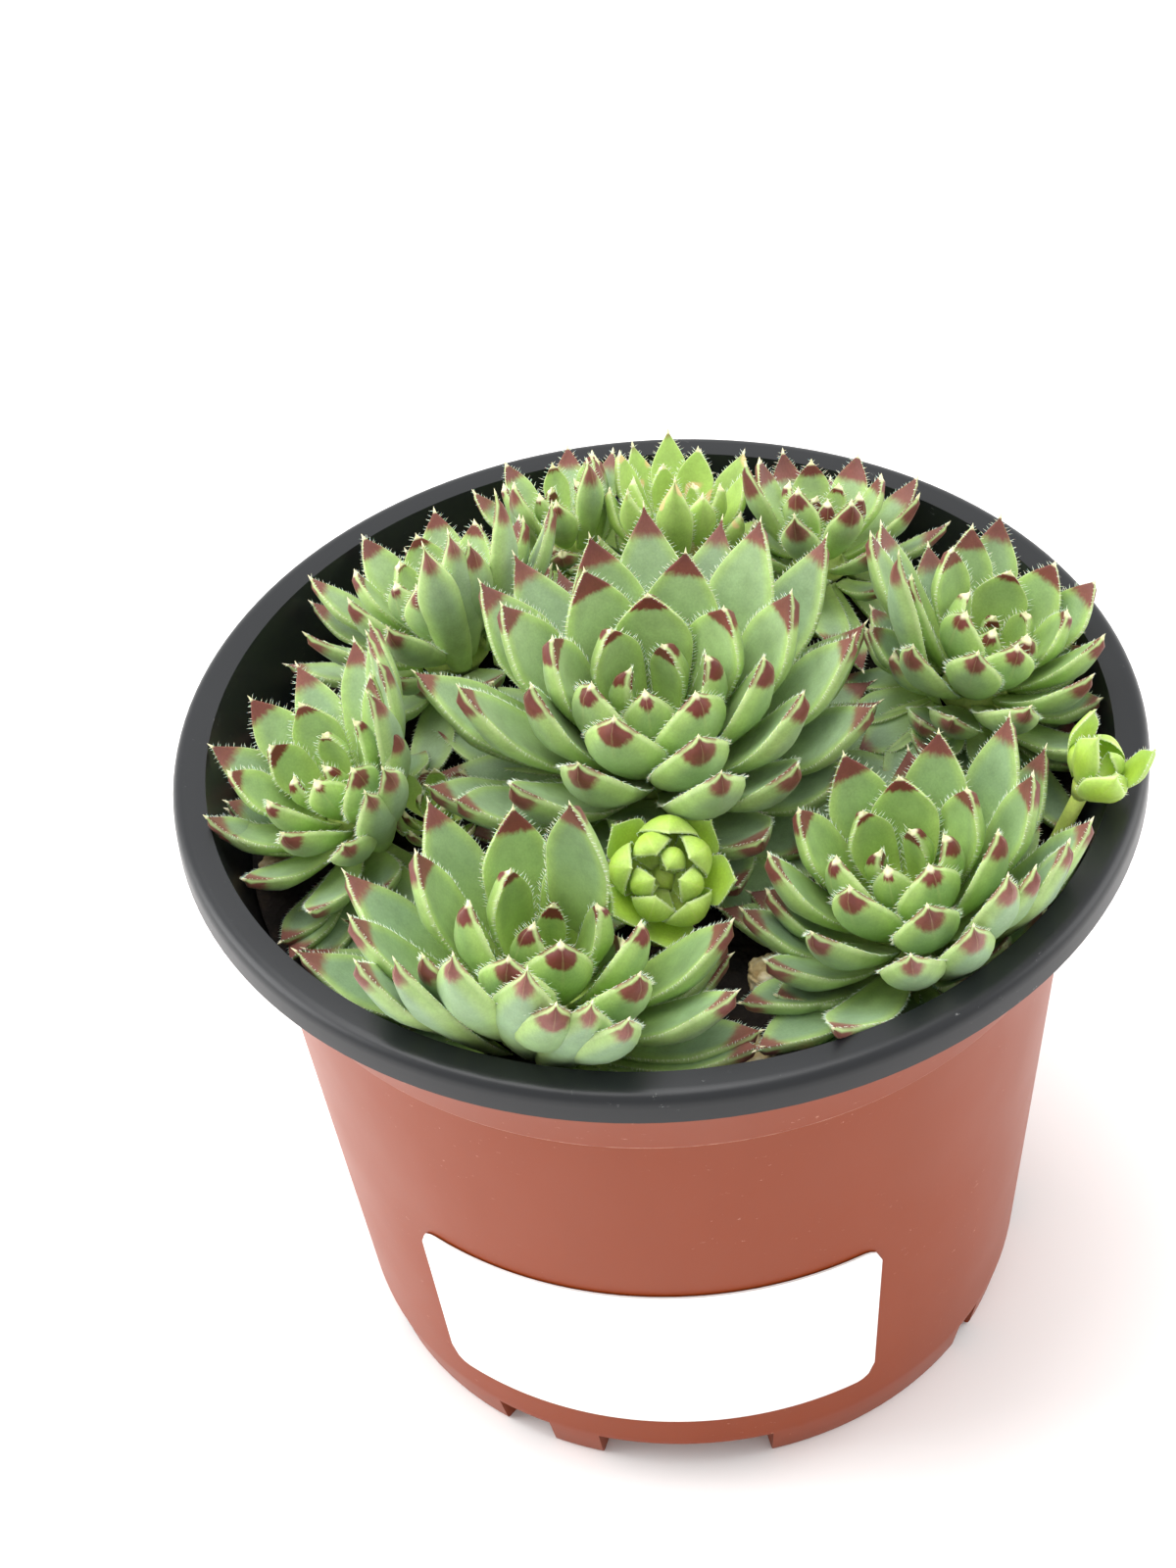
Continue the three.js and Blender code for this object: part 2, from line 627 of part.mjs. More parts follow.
function rosette(name) {
  const r = ROSETTES[name];
  const frame = frameOf(r);
  const walls = wallsOf(name);
  const offsets = offsetsOf(name);
  let plant = coreAndStem(r, frame);
  for (let leaf = GROWTH.firstLeaf; leaf < r.leaves * (1 + (r.under ?? GROWTH.under)); leaf += 1) {
    const placed = placedLeaf(r, leaf, frame, walls, offsets);
    if (placed) plant = plant.add(solid(ringSkin(placed.heel, placed.rings, placed.point)));
  }
  // The largest body: without the little hollows that crossed leaves seal, and loose scraps.
  const [whole] = plant.decompose().sort((a, b) => b.volume() - a.volume());
  return geometryOf(whole);
}

// ---------------------------------------------------------------- the part

const group = new THREE.Group();

function addPiece(name, geometry, colour, roughness) {
  const material = new THREE.MeshStandardMaterial({ color: colour, roughness, metalness: 0 });
  const mesh = new THREE.Mesh(geometry, material);
  mesh.name = name;
  group.add(mesh);
}

addPiece('pot', pot(), '#c17f68', 0.45);
addPiece('label', label(), '#f4f4f2', 0.6);
addPiece('soil', soil(Object.values(ROSETTES).map(stemOf)), '#2f2620', 0.95);
STONES.forEach((spec, number) => addPiece(`pumice_${number + 1}`, stone(spec, number), '#d8c49a', 0.9));
for (const name of Object.keys(ROSETTES)) addPiece(name, rosette(name), ROSETTES[name].colour, 0.5);

export default group;
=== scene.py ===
"""Hens and chicks, a colony of ciliate houseleeks, in a two-tone thermoformed nursery pot.

Lengths in the tables are millimetres and angles are degrees. Every mesh is made in metres in the
frame's own axes: +Z up, the origin under the middle of the pot, the label towards -Y.
"""
import math

import bpy
import numpy as np
from mathutils import Matrix, Vector, noise


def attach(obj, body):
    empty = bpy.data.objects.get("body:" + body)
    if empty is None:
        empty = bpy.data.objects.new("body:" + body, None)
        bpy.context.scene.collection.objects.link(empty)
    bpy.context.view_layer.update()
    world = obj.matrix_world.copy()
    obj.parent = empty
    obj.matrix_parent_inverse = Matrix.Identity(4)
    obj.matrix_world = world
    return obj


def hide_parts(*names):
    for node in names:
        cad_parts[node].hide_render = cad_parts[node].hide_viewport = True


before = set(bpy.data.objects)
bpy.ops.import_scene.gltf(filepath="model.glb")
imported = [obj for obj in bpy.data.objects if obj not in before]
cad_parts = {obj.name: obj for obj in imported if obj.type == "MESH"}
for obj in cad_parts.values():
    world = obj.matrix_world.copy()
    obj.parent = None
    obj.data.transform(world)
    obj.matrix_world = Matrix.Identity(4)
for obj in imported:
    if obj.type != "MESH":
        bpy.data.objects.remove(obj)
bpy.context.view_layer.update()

MM = 0.001
ROOT = "root"

# ---------------------------------------------------------------- driving dimensions

# The pot, and the radius of its rounded corners with the steps of each arc.
POT = dict(
    height=80, rim_radius=54, flange_width=3.8, flange_thick=1.5, lip_drop=3.6, lip_wall=1.2, edge_round=1,
    wall=1.2, collar_foot_radius=47, ledge_height=64.6, ledge_width=1.1, ledge_fall=0.8, inside_lift=0.3,
    body_foot_radius=39.6, foot_height=5, foot_radius=38.3, foot_ring_radius=29, foot_ring_slant=1.2,
    underside=4, floor_top=6, drain_radius=3, drain_circle=33.5,
)
ROUNDING = dict(outside=(0.5, 3), rim=(1.6, 6), inside=(0.7, 3))

# Channels in the foot, from one angle to another in each third of the pot. The first holds a drain hole.
CHANNELS = ((11, 41), (57, 63), (92, 102))
CHANNEL_REPEATS = 3
CHANNEL_HEIGHT = 4.6

LABEL = dict(width=54, height=25.4, thick=0.25, gap=0.15, corner=2.5, low=10.2, middle=-8.4)

SOIL = dict(level=68, swell=0.35, gap=0.3, ring_step=0.9)

STONES = (
    dict(at=(-43, -6), size=2.3, flat=0.6),
    dict(at=(10.3, -29), size=2.7, flat=0.8),
    dict(at=(6.9, -39.5), size=3.1, flat=0.6),
    dict(at=(15.5, -37), size=1.3, flat=0.8),
    dict(at=(44.2, 3), size=1.4, flat=0.8),
)

# What a leaf keeps clear of: the collar, the soil, the stones and the walls to its neighbours, the rim's
# top and edge where it leans over them, and the ball and the stem of an offset.
CLEAR = dict(collar=0.35, soil=0.9, stone=0.8, neighbour=0.2, rim=0.6, edge=0.3, ball=0.3, stem=0.4)

# The axis under the leaves, and the stem, which goes straight from above the soil to a foot deep in it.
CORE = dict(stations=(1, 0.75, 0.5, 0.3, 0.15, 0.05, 0), neck=1.5, sides=20)
STEM = dict(bend=1, depth=4, sides=16)

# How leaves change with age, from 0 at the heart over 1 at the outermost to the old ones under it.
GROWTH = dict(
    under=0.34, droop=50, lowest=1.1, root_angle=14, root_power=0.7, tip_angle=-12, tip_power=0.85,
    azimuth_play=4, tip_play=4, length_play=0.05, full_length_at=0.75, stretch=0.35, stretch_from=12,
    axis_drop=1.2, bud_share=0.15,
)

# The plain leaf of the solids. Its lengths are shares of the leaf's length, and its width and thickness
# are shares of the rosette's longest leaf.
LEAF = dict(
    stations=(0.32, 0.62, 0.82), young_stations=(0.4, 0.74), young_until=0.78, widest_at=0.62,
    root_width=0.4, shoulder=1.6, taper=1.5, width=0.34, bud_width=0.45, widening=0.11, full_width_at=0.6,
    thickness=0.078, root_thickness=0.4, point_thickness=0.45, cup=0.12, bud_cup=0.34, steepest_root=6,
    tightest_tip=-75, least_bend=1e-3,
)

# The rosettes: the place of the heart, how far its axis leans towards +X and +Y, the first leaf's
# azimuth, the turn from leaf to leaf, the number of leaves, the longest leaf, the core's radius, the
# outermost leaf's angles at root and tip, the innermost leaf's share of the longest, the stem's radius,
# and the room that it takes from its neighbours. An offset has a ball of space instead.
# Some traits only show: a head, how fresh, bloomed and scarred the leaves are, and their patches' share.
ROSETTES = {
    "hen": dict(
        at=(-0.3, -2, 82), lean=(-2, -4), first=182, turn=-136.8, leaves=44, reach=27, core=5.5,
        root=85, tip=56, short=0.42, stem=3.2, room=30, bloom=0.5),
    "chick_front_left": dict(
        at=(-13.5, -33.5, 77), lean=(8, 5), first=88, turn=137.7, leaves=35, reach=25, core=5.2,
        root=88, tip=68, short=0.4, stem=2.8, room=24),
    "chick_front_right": dict(
        at=(25, -25.4, 77), lean=(-9, 3), first=173, turn=-136.7, leaves=37, reach=22.5, core=5,
        root=81, tip=55, short=0.35, stem=2.8, room=22),
    "chick_right": dict(
        at=(37.2, 8.6, 80), lean=(15.6, 2), first=104, turn=138.7, leaves=34, reach=19.5, core=4.2,
        root=83, tip=57, short=0.3, stem=2.4, room=18, bloom=0.15),
    "chick_left": dict(
        at=(-35.3, -4, 77.5), lean=(-21, -4), first=341, turn=-138.4, leaves=30, reach=18, core=4,
        root=84, tip=60, short=0.38, stem=2.4, room=17, bloom=0.25),
    "chick_left_back": dict(
        at=(-23.4, 23.6, 79), lean=(-11, 13.3), first=199, turn=-136.7, leaves=30, reach=17, core=4,
        root=80, tip=52, short=0.35, stem=2.4, room=17, bloom=0.7),
    "chick_back": dict(
        at=(4.2, 33.8, 80.5), lean=(4, 10), first=171, turn=-137.8, leaves=20, reach=14, core=3.2,
        root=66, tip=30, short=0.42, stem=2, room=13.5, under=0.25, simple=True, fresh=0.75, patch=0.35,
        bloom=0.3, scarred=1),
    "chick_back_left": dict(
        at=(-9, 37, 80.5), lean=(-6, 14), first=147, turn=-136.7, leaves=20, reach=12, core=3,
        root=84, tip=54, short=0.45, stem=1.8, room=12, under=0.2, simple=True, bloom=0.4, patch=1.1),
    "chick_back_right": dict(
        at=(20.6, 31.4, 81), lean=(6.6, 18), first=137, turn=136.6, leaves=24, reach=14, core=3.4,
        root=82, tip=54, short=0.35, stem=2, room=14, under=0.25, simple=True, bloom=0.5, patch=1.4),
    "offset_ball": dict(
        at=(-0.4, -23.4, 81.4), lean=(2, -42), first=60, turn=137.5, leaves=15, reach=8, core=2,
        root=88, tip=34, bud_tip=-60, short=0.5, stem=1.1, foot=(-1.6, -20), wide=0.6,
        lift=0.35, ball=7.3, under=0, simple=True, fresh=1, patch=0, head="ball"),
    "offset_bud": dict(
        at=(46.2, -14.5, 82.9), lean=(26, -6), first=20, turn=137.5, leaves=8, reach=8.6, core=1.5,
        root=40, tip=2, bud_tip=-25, short=0.6, stem=0.9, foot=(41.5, -13), wide=0.58,
        lift=0.4, ball=5.6, over_rim=True, under=0, simple=True, fresh=1, patch=0, head="bud"),
    "offset_low": dict(
        at=(-24.8, -4.6, 75), lean=(-6, -8), first=30, turn=137.5, leaves=13, reach=7, core=2,
        root=80, tip=44, bud_tip=-30, short=0.5, stem=1.2, wide=0.5,
        lift=0.3, ball=5.6, under=0, simple=True, fresh=0.4),
}
LIFT = 0.25

# The youngest leaves stand a little more open and flatter than their plain solids: the degrees and the
# share of the cup that is lost at the heart, and the age from which leaves stand as the solids do.
HEART = dict(opens=9, flattens=0.4, until=0.6)

# The young head of an offset: leaves up to an age are blunt scales that wrap a globe. It has the radii
# and the tip angles of the first and the last scale, and their width as a share of the radius. The other
# leaves are pointed, and spread further than their plain solids.
HEADS = {
    "ball": dict(
        until=0.62, radii=(1.8, 3.7), tips=(-78, -14), root=78, wrap=0.92, cup=0.5, spread=20, wide=1.15),
    "bud": dict(
        until=0.5, radii=(1.7, 3), tips=(-60, -20), root=70, wrap=0.95, cup=0.5, spread=2, wide=0.95),
}
HEAD_TAPER = dict(scale=0.75, leaf=1.5)

# Leaves of a head have no dry spine: their tissue is read this many millimetres further from the point.
BLUNT = 1.2

# Leaves between these ages can be scarred.
SCARRED = (0.3, 0.9)

# The skirt: more old leaves under each rosette, which hide the soil. It holds a share of the rosette's
# leaves, all of one age, and crosses the walls to its neighbours low down.
SKIRT = dict(share=0.4, age=1.4, crosses=5)

# The fine leaf's mesh: columns round it and stations along it, crowded towards its point.
BLANK = dict(columns=20, stations=20, crowding=1.5)

# The fine leaf: where its blade ends in the soft spine, the spine's radius and how fast it narrows, the
# swelling of both sides, how sharply an old and a young leaf draw out to the point, and the share of its
# width that an old leaf lacks.
BLADE = dict(
    ends_at=0.965, spine=0.12, spine_end=0.03, face_swell=0.2, keel=1.15, thickest=1.6, taper=1.3,
    young_taper=0.95, slim=0.1,
)

# The most that leaves differ by: their twist in degrees, their sideways sweep as a share of the length,
# the height of the blade's wave as a share of its half width, the wave's run along it, and its start.
PLAY = dict(twist=5, sweep=0.03, wave=0.05, wave_run=5, phase=3)

# How far the maroon patch reaches down the shortest leaves, how much further down the longest, and by how
# much that differs.
PATCH = dict(least=1.3, grows=2.5, play=0.5, from_length=4, to_length=22)

# The hairs of the margin: their spacing, length and thickness, how far they lean towards the point and out
# of the blade, and how they differ. A young leaf has the longest, an old one has lost a share of them, and
# an offset's leaves and scales have short ones. Real hairs are half as thick.
HAIR = dict(
    spacing=0.35, length=0.68, radius=0.055, starts_at=0.2, ends_at=0.955, scatter=0.4, lean=(0.2, 0.9),
    tilt=0.45, sizes=(0.55, 1.15), sunk=0.08, fewest=6, young=1.15, loses=0.45, offset=0.7, scale=0.3,
)

# What the leaf material reads at each point. "edge" and "tip" are the millimetres to the margin and to
# the point. The core and the stem have the look of a young leaf far from both.
POINT_TRAITS = ("along", "across", "back", "age", "tint", "fresh", "edge", "tip", "patch", "bloom", "scar")
CORE_TRAITS = dict(edge=9, tip=99, age=0.2)

# A rosette fresher than this gets the slot name leaf_fresh instead of leaf.
FRESH_FROM = 0.3


# ---------------------------------------------------------------- materials

# Settings that many nodes share: a blend of two colours, and a soft step.
BLEND = dict(data_type="RGBA", output=2)
SOFT = dict(interpolation_type="SMOOTHSTEP")


def linear(hex_colour):
    """An sRGB hex colour as linear RGBA."""
    channels = [int(hex_colour[k:k + 2], 16) / 255 for k in (1, 3, 5)]
    return [c / 12.92 if c <= 0.04045 else ((c + 0.055) / 1.055) ** 2.4 for c in channels] + [1]


def add_node(tree, kind, inputs=None, stops=None, output=0, **settings):
    """Adds a node with its settings, its inputs as values or links and its stops, and gives one output."""
    node = tree.nodes.new("ShaderNode" + kind)
    for name, value in settings.items():
        setattr(node, name, value)
    for socket, value in (inputs or {}).items():
        if isinstance(value, bpy.types.NodeSocket):
            tree.links.new(value, node.inputs[socket])
        else:
            node.inputs[socket].default_value = value
    if stops:
        ramp = node.color_ramp.elements
        while len(ramp) < len(stops):
            ramp.new(1)
        for element, (place, colour) in zip(ramp, stops):
            element.position = place
            element.color = linear(colour)
    return node.outputs[output]


def new_material(name, **sockets):
    """A material with one Principled shader, its node tree and that shader."""
    material = bpy.data.materials.new(name)
    material.use_nodes = True
    tree = material.node_tree
    shader = tree.nodes["Principled BSDF"]
    for socket, value in sockets.items():
        shader.inputs[socket.replace("_", " ")].default_value = value
    return material, tree, shader


def leaf_tissue():
    """Living houseleek leaf: waxy skin over translucent green flesh, a maroon patch and a pale spine.

    Its patterns have clouds of 2.4 mm, grain of 0.24 mm and scars of 4 mm, and lengths on a leaf are
    in millimetres."""
    material, tree, shader = new_material(
        "leaf_tissue", IOR=1.42, Roughness=0.48, Subsurface_Weight=0.15, Subsurface_Scale=1.6 * MM,
        Subsurface_Radius=(0.7, 1.0, 0.25), Sheen_Weight=0.08, Sheen_Roughness=0.5,
        Sheen_Tint=linear("#e6f2dc"))
    place = add_node(tree, "TexCoord", output="Object")
    trait = {name: add_node(tree, "Attribute", output="Fac", attribute_name=name) for name in POINT_TRAITS}
    mottle = add_node(tree, "TexNoise", {"Vector": place, "Scale": 420, "Detail": 3, "Roughness": 0.6})
    grain = add_node(tree, "TexNoise", {"Vector": place, "Scale": 4200, "Detail": 2})

    # Down the leaf from its pale root: young leaves stay grass green, old ones turn glaucous.
    young = add_node(tree, "ValToRGB", {"Fac": trait["along"]}, stops=(
        (0.0, "#bcd070"), (0.3, "#90b04c"), (0.65, "#86a658"), (0.95, "#86a464")))
    old = add_node(tree, "ValToRGB", {"Fac": trait["along"]}, stops=(
        (0.0, "#b4cc70"), (0.3, "#8dab5c"), (0.62, "#86a27a"), (0.9, "#839c79")))
    bright = add_node(tree, "ValToRGB", {"Fac": trait["along"]}, stops=(
        (0.0, "#d0e272"), (0.4, "#a8c83e"), (0.9, "#a6c650")))
    ageing = add_node(tree, "MapRange", {"Value": trait["age"], "From Min": 0.1, "From Max": 0.75})
    skin = add_node(tree, "Mix", {0: ageing, 6: young, 7: old}, **BLEND)
    skin = add_node(tree, "Mix", {0: trait["fresh"], 6: skin, 7: bright}, **BLEND)

    # Bloom: wax pales the skin. It is thicker in soft clouds, and each leaf has a shade of its own.
    waxed = add_node(tree, "Math", {0: trait["bloom"], 1: 0.5}, operation="MULTIPLY")
    skin = add_node(tree, "Mix", {0: waxed, 6: skin, 7: linear("#b3c79c")}, **BLEND)
    cloud = add_node(tree, "MapRange", {
        "Value": mottle, "From Min": 0.3, "From Max": 0.7, "To Min": 0.86, "To Max": 1.12})
    shade = add_node(tree, "MapRange", {"Value": trait["tint"], "To Min": 0.92, "To Max": 1.08})
    speckle = add_node(tree, "MapRange", {
        "Value": grain, "From Min": 0.3, "From Max": 0.7, "To Min": 0.93, "To Max": 1.07})
    level = add_node(tree, "Math", {0: cloud, 1: shade}, operation="MULTIPLY")
    level = add_node(tree, "Math", {0: level, 1: speckle}, operation="MULTIPLY")

    # The flesh thins to a yellow-green band along the margin, painted lighter for the light that shines
    # through the thinning flesh, and the margin is a translucent line.
    glow_through_thin_flesh = add_node(tree, "MapRange", {
        "Value": trait["edge"], "From Min": 1.7, "From Max": 0.2, "To Max": 0.55}, **SOFT)
    skin = add_node(tree, "Mix", {0: glow_through_thin_flesh, 6: skin, 7: linear("#a9c568")}, **BLEND)
    margin = add_node(tree, "MapRange", {
        "Value": trait["edge"], "From Min": 0.2, "From Max": 0.0, "To Max": 0.6}, **SOFT)
    skin = add_node(tree, "Mix", {0: margin, 6: skin, 7: linear("#c4d49a")}, **BLEND)

    # The maroon patch reaches its length down from the point, with an edge that frays in streaks. On the
    # back it is a narrower spot, clear of the margin.
    reach = add_node(tree, "CombineXYZ", {"X": trait["across"], "Y": trait["tip"], "Z": trait["tint"]})
    streaks = add_node(tree, "Mapping", {"Vector": reach, "Scale": (5, 1.2, 40)})
    fray = add_node(tree, "TexNoise", {"Vector": streaks, "Scale": 1.0, "Detail": 3})
    frayed = add_node(tree, "Math", {0: fray, 1: trait["tip"]}, operation="ADD")
    off_middle = add_node(tree, "Math", {0: trait["across"], 1: trait["across"]}, operation="MULTIPLY")
    narrow = add_node(tree, "Math", {0: off_middle, 1: trait["back"]}, operation="MULTIPLY")
    frayed = add_node(tree, "Math", {0: narrow, 1: 0.6, 2: frayed}, operation="MULTIPLY_ADD")
    inside = add_node(tree, "Math", {0: trait["patch"], 1: frayed}, operation="SUBTRACT")
    fade = add_node(tree, "MapRange", {"Value": ageing, "To Min": 0.55, "To Max": 1.6})
    faded = add_node(tree, "Math", {0: inside, 1: fade}, operation="DIVIDE")
    stain = add_node(tree, "MapRange", {"Value": faded, "From Min": -0.9, "From Max": 0.1}, **SOFT)
    rim = add_node(tree, "MapRange", {"Value": trait["edge"], "From Min": 0.16, "From Max": 0.04}, **SOFT)
    rim = add_node(tree, "Math", {0: rim, 1: trait["back"]}, operation="MULTIPLY")
    stain = add_node(tree, "Math", {0: stain, 1: rim}, operation="SUBTRACT", use_clamp=True)
    maroon = add_node(tree, "Mix", {0: ageing, 6: linear("#6c2c25"), 7: linear("#85544a")}, **BLEND)
    depth = add_node(tree, "MapRange", {"Value": inside, "From Max": 2.6, "To Max": 0.75})
    maroon = add_node(tree, "Mix", {0: depth, 6: maroon, 7: linear("#5a2722")}, **BLEND)
    skin = add_node(tree, "Mix", {0: stain, 6: skin, 7: maroon}, **BLEND)
    skin = add_node(tree, "HueSaturation", {"Color": skin, "Value": level})

    # The keel is a pale line down the back that fades half way to the root: partly its own pale colour and
    # partly a painted highlight where light catches the ridge.
    keel = add_node(tree, "MapRange", {"Value": off_middle, "From Min": 0.008, "From Max": 0.0}, **SOFT)
    keel_colour_and_highlight_fade = add_node(tree, "MapRange", {
        "Value": trait["tip"], "From Min": 6, "From Max": 0.5, "To Max": 0.2})
    keel = add_node(tree, "Math", {0: keel, 1: trait["back"]}, operation="MULTIPLY")
    keel = add_node(tree, "Math", {0: keel, 1: keel_colour_and_highlight_fade}, operation="MULTIPLY")
    skin = add_node(tree, "Mix", {0: keel, 6: skin, 7: linear("#cfc98e")}, **BLEND)

    # A few old bites and rubs have healed to corky tan scars.
    wounds = add_node(tree, "TexNoise", {"Vector": place, "Scale": 230, "Detail": 1})
    healed = add_node(tree, "MapRange", {"Value": wounds, "From Min": 0.6, "From Max": 0.63}, **SOFT)
    scar = add_node(tree, "Math", {0: healed, 1: trait["scar"]}, operation="MULTIPLY")
    skin = add_node(tree, "Mix", {0: scar, 6: skin, 7: linear("#d9bf86")}, **BLEND)

    # The spine at the very end is dry and cream.
    spine = add_node(tree, "MapRange", {"Value": trait["tip"], "From Min": 0.95, "From Max": 0.6}, **SOFT)
    skin = add_node(tree, "Mix", {0: spine, 6: skin, 7: linear("#efe8bf")}, **BLEND)
    tree.links.new(skin, shader.inputs["Base Color"])

    # A fine down of very short hairs roughens the skin.
    relief = add_node(tree, "Bump", {"Strength": 0.25, "Distance": 0.06 * MM, "Height": grain})
    tree.links.new(relief, shader.inputs["Normal"])
    return material


def leaf_hair():
    """Cilia: colourless hollow hairs that catch the light."""
    return new_material(
        "leaf_hair", Base_Color=linear("#e8efd4"), Roughness=0.4, Subsurface_Weight=0.3,
        Subsurface_Scale=0.4 * MM)[0]


def pot_plastic(name, colour, dust_and_highlight_colour, roughness, shine):
    """Thermoformed polystyrene sheet: satin, with faint draw marks down the wall, pale dirty scuffs, and a
    pale line along the ledge's edge that is partly wear and partly a painted highlight.

    The marks are 7 mm apart, the dirt lies in clouds of 17 mm and one scuff is 1.4 mm long."""
    material, tree, shader = new_material(name, IOR=1.5, Specular_IOR_Level=shine)
    place = add_node(tree, "TexCoord", output="Object")
    drawn = add_node(tree, "Mapping", {"Vector": place, "Scale": (1, 1, 0.12)})
    marks = add_node(tree, "TexNoise", {"Vector": drawn, "Scale": 150, "Detail": 4})
    cloud = add_node(tree, "TexNoise", {"Vector": place, "Scale": 60, "Detail": 3})
    scuffed = add_node(tree, "Mapping", {"Vector": place, "Scale": (1, 1, 2.5)})
    scuffs = add_node(tree, "TexNoise", {"Vector": scuffed, "Scale": 700, "Detail": 5, "Roughness": 0.75})
    worn = add_node(tree, "MapRange", {"Value": scuffs, "From Min": 0.65, "From Max": 0.71}, **SOFT)
    patchy = add_node(tree, "MapRange", {"Value": cloud, "From Min": 0.48, "From Max": 0.62}, **SOFT)
    dust_and_ledge_highlight = add_node(tree, "Math", {0: worn, 1: patchy}, operation="MULTIPLY")

    # The sharp edge over the ledge is worn pale where pots slide into one another, and the same pale line is
    # a painted highlight where light catches the edge.
    height = add_node(tree, "SeparateXYZ", {0: place}, output="Z")
    off_edge = add_node(tree, "Math", {0: height, 1: POT["ledge_height"] * MM}, operation="SUBTRACT")
    off_edge = add_node(tree, "Math", {0: off_edge}, operation="ABSOLUTE")
    ledge_wear_and_highlight = add_node(tree, "MapRange", {
        "Value": off_edge, "From Min": 0.35 * MM, "From Max": 0.1 * MM, "To Max": 0.9})
    rub_and_highlight_strength = add_node(tree, "MapRange", {"Value": scuffs, "From Min": 0.42, "From Max": 0.6})
    dust_and_ledge_highlight = add_node(tree, "Math", {0: ledge_wear_and_highlight, 1: rub_and_highlight_strength, 2: dust_and_ledge_highlight}, operation="MULTIPLY_ADD", use_clamp=True)

    tone = add_node(tree, "MapRange", {"Value": marks, "To Min": 0.94, "To Max": 1.06})
    sheet = add_node(tree, "HueSaturation", {"Color": linear(colour), "Value": tone})
    # Scuffs, and the pale ledge line that is partly wear and partly a painted highlight, laid over the
    # sheet's colour.
    sheet = add_node(tree, "Mix", {0: dust_and_ledge_highlight, 6: sheet, 7: linear(dust_and_highlight_colour)}, **BLEND)
    tree.links.new(sheet, shader.inputs["Base Color"])
    gloss = add_node(tree, "MapRange", {
        "Value": cloud, "To Min": roughness - 0.06, "To Max": roughness + 0.08})
    tree.links.new(gloss, shader.inputs["Roughness"])
    relief = add_node(tree, "Bump", {"Strength": 0.2, "Distance": 0.1 * MM, "Height": marks})
    tree.links.new(relief, shader.inputs["Normal"])
    return material


def label_paper():
    """Matte coated label paper, bright white with a trace of fibre about 1 mm long."""
    material, tree, shader = new_material("label_paper", Roughness=0.55, IOR=1.45)
    place = add_node(tree, "TexCoord", output="Object")
    fibre = add_node(tree, "TexNoise", {"Vector": place, "Scale": 900, "Detail": 4})
    white = add_node(tree, "ValToRGB", {"Fac": fibre}, stops=((0.3, "#f1f1ef"), (0.7, "#fafaf9")))
    tree.links.new(white, shader.inputs["Base Color"])
    relief = add_node(tree, "Bump", {"Strength": 0.15, "Distance": 0.03 * MM, "Height": fibre})
    tree.links.new(relief, shader.inputs["Normal"])
    return material


def potting_mix():
    """Moist peat and composted bark: near black, with paler clumps of 4 mm and crumbs of 1.3 mm."""
    material, tree, shader = new_material("potting_mix", Roughness=0.92)
    place = add_node(tree, "TexCoord", output="Object")
    crumbs = add_node(tree, "TexVoronoi", {"Vector": place, "Scale": 800})
    clumps = add_node(tree, "TexNoise", {"Vector": place, "Scale": 260, "Detail": 6, "Roughness": 0.7})
    dark = add_node(tree, "ValToRGB", {"Fac": clumps}, stops=(
        (0.3, "#0f0c0a"), (0.55, "#241b15"), (0.75, "#4a3a2c")))
    tree.links.new(dark, shader.inputs["Base Color"])
    relief = add_node(tree, "Bump", {"Strength": 0.8, "Distance": 0.6 * MM, "Height": crumbs})
    tree.links.new(relief, shader.inputs["Normal"])
    return material


def pumice_stone():
    """Horticultural pumice: tan and cream in clouds of 2 mm, pitted every 0.7 mm."""
    material, tree, shader = new_material("pumice_stone", Roughness=0.9)
    place = add_node(tree, "TexCoord", output="Object")
    pits = add_node(tree, "TexVoronoi", {"Vector": place, "Scale": 1500}, feature="SMOOTH_F1")
    cloud = add_node(tree, "TexNoise", {"Vector": place, "Scale": 500, "Detail": 5})
    tan = add_node(tree, "ValToRGB", {"Fac": cloud}, stops=(
        (0.35, "#a98b5c"), (0.5, "#d0b988"), (0.7, "#efe2c0")))
    tree.links.new(tan, shader.inputs["Base Color"])
    relief = add_node(tree, "Bump", {"Strength": 0.9, "Distance": 0.3 * MM, "Height": pits})
    tree.links.new(relief, shader.inputs["Normal"])
    return material


# ---------------------------------------------------------------- mesh helpers

def deselect():
    """Leaves nothing selected, so that an operator acts on its own piece alone."""
    bpy.ops.object.select_all(action="DESELECT")


def new_piece(name, points, edges, faces):
    """A mesh object from points in millimetres."""
    mesh = bpy.data.meshes.new(name)
    mesh.from_pydata((np.asarray(points) * MM).tolist(), edges, faces)
    piece = bpy.data.objects.new(name, mesh)
    bpy.context.scene.collection.objects.link(piece)
    return piece


def smooth_skin(piece, *materials):
    """Shades a piece smooth, in these materials alone."""
    piece.data.materials.clear()
    for material in materials:
        piece.data.materials.append(material)
    piece.data.polygons.foreach_set("use_smooth", [True] * len(piece.data.polygons))


def finish_piece(piece, slot, *nodes):
    """Seats a piece on the root body and lets it stand for its CAD nodes; the slot is not used."""
    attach(piece, ROOT)
    if nodes:
        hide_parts(*nodes)


def set_active(piece):
    """Selects one piece alone, for the operators that follow."""
    deselect()
    piece.select_set(True)
    bpy.context.view_layer.objects.active = piece


def apply_modifier(piece, kind, name, **settings):
    """Adds a modifier with its settings and applies it."""
    set_active(piece)
    modifier = piece.modifiers.new(name, kind)
    for setting, value in settings.items():
        setattr(modifier, setting, value)
    bpy.ops.object.modifier_apply(modifier=name)


